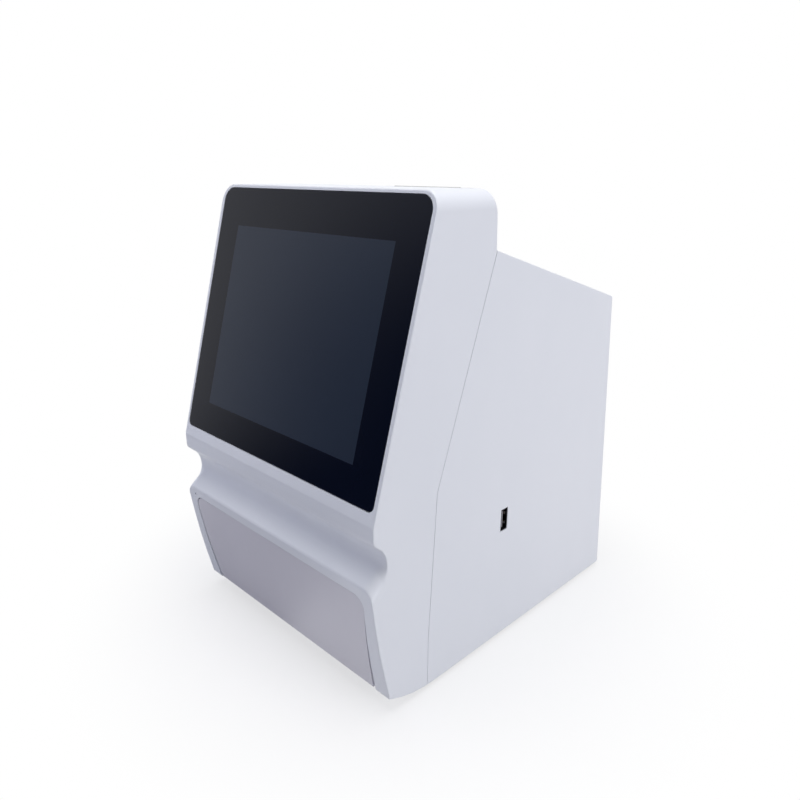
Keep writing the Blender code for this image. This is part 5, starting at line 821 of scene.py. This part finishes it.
def chipLegs(bm, centre, size, upright):
    # a row of legs on each of the chip's four sides
    half, (width, length, height) = size["chip"] / 2, size["leg"]
    made = []
    for side in range(4):
        turn = Matrix.Rotation(math.tau * side / 4, 4, "Z")
        for i in range(size["legs"]):
            x = (i - (size["legs"] - 1) / 2) * size["legPitch"]
            verts = block(bm, (x - width / 2, half - size["legRoot"], -size["tuck"]),
                          (x + width / 2, half + length, height))
            bmesh.ops.transform(bm, matrix=turn, verts=verts)
            made += verts
    bmesh.ops.transform(bm, matrix=Matrix.Translation(centre) @ upright, verts=made)


def plugHeader(bm, centre, pins, size, upright):
    # white nylon header, open at the top, with its row of square pins
    end = (pins * size["pinPitch"] + size["plugEnds"]) / 2
    side, wall, floor, top = size["plugHalf"], size["plugWall"], size["plugFloor"], size["plugTop"]
    foot, lap = floor - 0.1, side - wall + 0.1    # the walls reach a little into each other
    made = block(bm, (-end, -side, -size["tuck"]), (end, side, floor))
    made += block(bm, (-end, -side, foot), (end, -side + wall, top))
    made += block(bm, (-end, side - wall, foot), (end, side, top))
    made += block(bm, (-end, -lap, foot), (-end + wall, lap, top))
    made += block(bm, (end - wall, -lap, foot), (end, lap, top))
    half = size["pinHalf"]
    for i in range(pins):
        x = (i - (pins - 1) / 2) * size["pinPitch"]
        made += block(bm, (x - half, -half, foot), (x + half, half, size["pinTop"]), index=1)
    bmesh.ops.transform(bm, matrix=Matrix.Translation(centre) @ upright, verts=made)


def boardDetails(size):
    facingRear = Matrix.Rotation(math.radians(-90), 4, "X")
    facingUp = Matrix.Identity(4)
    low, high = boxOf("detector_board")
    face = low.z + size["sheet"]
    bm = newShape()
    for x in size["mainChips"]:
        chipLegs(bm, (x, size["mainFace"], size["mainMiddle"]), size, facingRear)
    chipLegs(bm, ((low.x + high.x) / 2, (low.y + high.y) / 2, face), size, facingUp)
    show(bm, "chipLegs", brightSteel, "housing")
    bm = newShape()
    for x, z, pins in size["mainPlugs"]:
        plugHeader(bm, (x, size["mainFace"], z), pins, size, facingRear)
    x, inset, pins = size["detectorPlug"]
    plugHeader(bm, (x, low.y + inset, face), pins, size, facingUp)
    show(bm, "plugHeaders", [nylon, goldContact], "housing", rounding=0.12)


power = {
    "turns": 9, "turnPitch": 2.0, "turnHeight": 1.6, "coilRise": 3.2,    # mm
    "coil": (12.7, 5.7, 39.3, 32.3),                                     # left, front, right, rear
    "cans": ((64, 12, 5.0, 12.0), (78, 12, 4.0, 9.0), (64, 30, 4.0, 9.0)),    # x, y, radius, height
    "canFoot": 1.55, "groove": ((0, 0.8), (0.35, 1.3), (0, 1.8)), "canEdge": 0.5,    # groove is depth, rise
    "capFoot": 1.5, "capInset": 1.0, "capHeight": 0.12,
}


def powerDetails(size):
    low = boxOf("power_board")[0]
    left, front, right, rear = size["coil"]
    bm = newShape()
    for turn in range(size["turns"]):
        z = low.z + size["coilRise"] + turn * size["turnPitch"]
        block(bm, (low.x + left, low.y + front, z), (low.x + right, low.y + rear, z + size["turnHeight"]))
    show(bm, "coilWinding", copperWire, "housing", rounding=0.6)
    bm = newShape()
    for across, inwards, radius, height in size["cans"]:
        x, y, edge = low.x + across, low.y + inwards, size["canEdge"]
        groove = [(radius - depth, rise) for depth, rise in size["groove"]]
        top = [(radius, height - edge), (radius - edge, height), (0, height)]
        turned(bm, [(0, 0), (radius, 0)] + groove + top, (x, y, low.z + size["canFoot"]), "Z", 24)
        rod(bm, (x, y, low.z + size["capFoot"] + height), "Z", radius - size["capInset"], size["capHeight"],
            index=1)
    show(bm, "powerCapacitors", [canSleeve, machinedAluminium], "housing")


boardDetails(boards)
powerDetails(power)
print("Boards finished")


# Floor, light and background

studio = {
    "floor": "#f6f6f6",
    "floorBounce": "#d6d5d4",             # what the floor throws back onto the object
    "fadeLeast": 0.62,                    # how white it is even where the shadow lies
    "floorReach": 6.0,                    # metres
    "fadeNear": 0.12, "fadeFar": 0.27,    # metres from the object where the floor turns into plain white
    "worldColour": "#e9ecff", "world": 0.32,
    "flag": (-0.50, -0.866, 0.0),         # where a dark flag stands, so that gloss has something to mirror
    "flagEdge": (0.86, 0.985),            # cosines of its soft edge
    "flagShade": 0.04,
    "aim": (0, 0, 0.15), "mirrored": ("topSoftbox", "sideSoftbox"),    # the glass would mirror the low lamp
    "lamps": [    # name, place, size, watts, colour
        ("topSoftbox", (0.10, -0.05, 1.30), 1.1, 9.6, "#ffffff"),
        ("sideSoftbox", (1.25, 0.25, 0.40), 0.9, 5.7, "#fbfbff"),
        ("frontFill", (-1.30, -0.80, 0.32), 0.6, 5.8, "#dee2ff"),
    ],
}


def backdropTone(tree, direction, look, place):
    # what gloss mirrors: plain white, with the soft dark flag at the front left
    unit = addNode(tree, "ShaderNodeVectorMath", (place[0], place[1]), {0: direction}, operation="NORMALIZE")
    nearness = addNode(tree, "ShaderNodeVectorMath", (place[0] + 200, place[1]), {
        0: unit.outputs["Vector"], 1: look["flag"]}, operation="DOT_PRODUCT")
    tone = addNode(tree, "ShaderNodeMapRange", (place[0] + 400, place[1]), {
        "Value": nearness.outputs["Value"], "From Min": look["flagEdge"][0], "From Max": look["flagEdge"][1],
        "To Min": 1.0, "To Max": look["flagShade"]}, interpolation_type="SMOOTHSTEP")
    path = addNode(tree, "ShaderNodeLightPath", (place[0], place[1] - 250))
    return addNode(tree, "ShaderNodeMath", (place[0] + 600, place[1]), {
        0: tone.outputs["Result"], 1: path.outputs["Is Camera Ray"]}, operation="MAXIMUM").outputs[0]


def seenDirectly(tree, place):
    # 1 for what the camera, a mirror or a clear piece sees, 0 for light that falls on the object
    path = addNode(tree, "ShaderNodeLightPath", place)
    either = addNode(tree, "ShaderNodeMath", (place[0] + 200, place[1]), {
        0: path.outputs["Is Camera Ray"], 1: path.outputs["Is Glossy Ray"]}, operation="MAXIMUM")
    return addNode(tree, "ShaderNodeMath", (place[0] + 400, place[1]), {
        0: either.outputs[0], 1: path.outputs["Is Transmission Ray"]}, operation="MAXIMUM").outputs[0]


def addStudio(look):
    world = bpy.data.worlds.new("studio")
    bpy.context.scene.world = world
    world.use_nodes = True
    tree = world.node_tree
    tree.nodes.clear()
    direction = addNode(tree, "ShaderNodeTexCoord", (-1400, -200)).outputs["Generated"]
    white = addNode(tree, "ShaderNodeBackground", (-300, -200), {
        "Color": (1, 1, 1, 1), "Strength": backdropTone(tree, direction, look, (-1200, -200))})
    dim = addNode(tree, "ShaderNodeBackground", (-300, 0), {
        "Color": linear(look["worldColour"]), "Strength": look["world"]})
    mix = addNode(tree, "ShaderNodeMixShader", (0, 0), {
        0: seenDirectly(tree, (-1000, 200)), 1: dim.outputs[0], 2: white.outputs[0]})
    addNode(tree, "ShaderNodeOutputWorld", (200, 0), {"Surface": mix.outputs[0]})
    for name, place, size, watts, colour in look["lamps"]:
        data = bpy.data.lights.new(name, "AREA")
        data.shape = "DISK"
        data.size = size
        data.energy = watts
        data.color = linear(colour)[:3]
        lamp = bpy.data.objects.new(name, data)
        lamp.visible_glossy = name in look["mirrored"]
        bpy.context.scene.collection.objects.link(lamp)
        aim = Vector(look["aim"]) - Vector(place)
        lamp.matrix_world = Matrix.Translation(place) @ aim.to_track_quat("-Z", "Y").to_matrix().to_4x4()
    bm = newShape()
    bmesh.ops.create_circle(bm, cap_ends=True, radius=look["floorReach"], segments=96)
    mesh = bpy.data.meshes.new("floor")
    bm.to_mesh(mesh)
    bm.free()
    floor = bpy.data.objects.new("floor", mesh)
    bpy.context.scene.collection.objects.link(floor)
    floorPaint, tree, shader = newMaterial("paleStudioFloor", Roughness=0.9)
    path = addNode(tree, "ShaderNodeLightPath", (-700, 600))
    tone = addNode(tree, "ShaderNodeMix", (-400, 600), {
        "Factor": path.outputs["Is Camera Ray"], 6: linear(look["floorBounce"]), 7: linear(look["floor"])},
        data_type="RGBA")
    tree.links.new(tone.outputs[2], shader.inputs["Base Color"])
    where = addNode(tree, "ShaderNodeTexCoord", (-1400, -200)).outputs["Object"]
    far = addNode(tree, "ShaderNodeVectorMath", (-1200, -500), {0: where}, operation="LENGTH")
    fade = addNode(tree, "ShaderNodeMapRange", (-1000, -500), {
        "Value": far.outputs["Value"], "From Min": look["fadeNear"], "From Max": look["fadeFar"],
        "To Min": look["fadeLeast"]}, interpolation_type="SMOOTHSTEP")
    seen = addNode(tree, "ShaderNodeMath", (-300, 200), {
        0: fade.outputs["Result"], 1: seenDirectly(tree, (-900, 300))}, operation="MULTIPLY")
    white = addNode(tree, "ShaderNodeEmission", (-200, -300), {
        "Color": (1, 1, 1, 1), "Strength": backdropTone(tree, where, look, (-1100, -200))})
    mix = addNode(tree, "ShaderNodeMixShader", (200, 0), {
        0: seen.outputs[0], 1: shader.outputs[0], 2: white.outputs[0]})
    tree.links.new(mix.outputs[0], tree.nodes["Material Output"].inputs["Surface"])
    mesh.materials.append(floorPaint)


addStudio(studio)
bpy.context.scene.view_settings.view_transform = "Standard"
print("Studio lit")
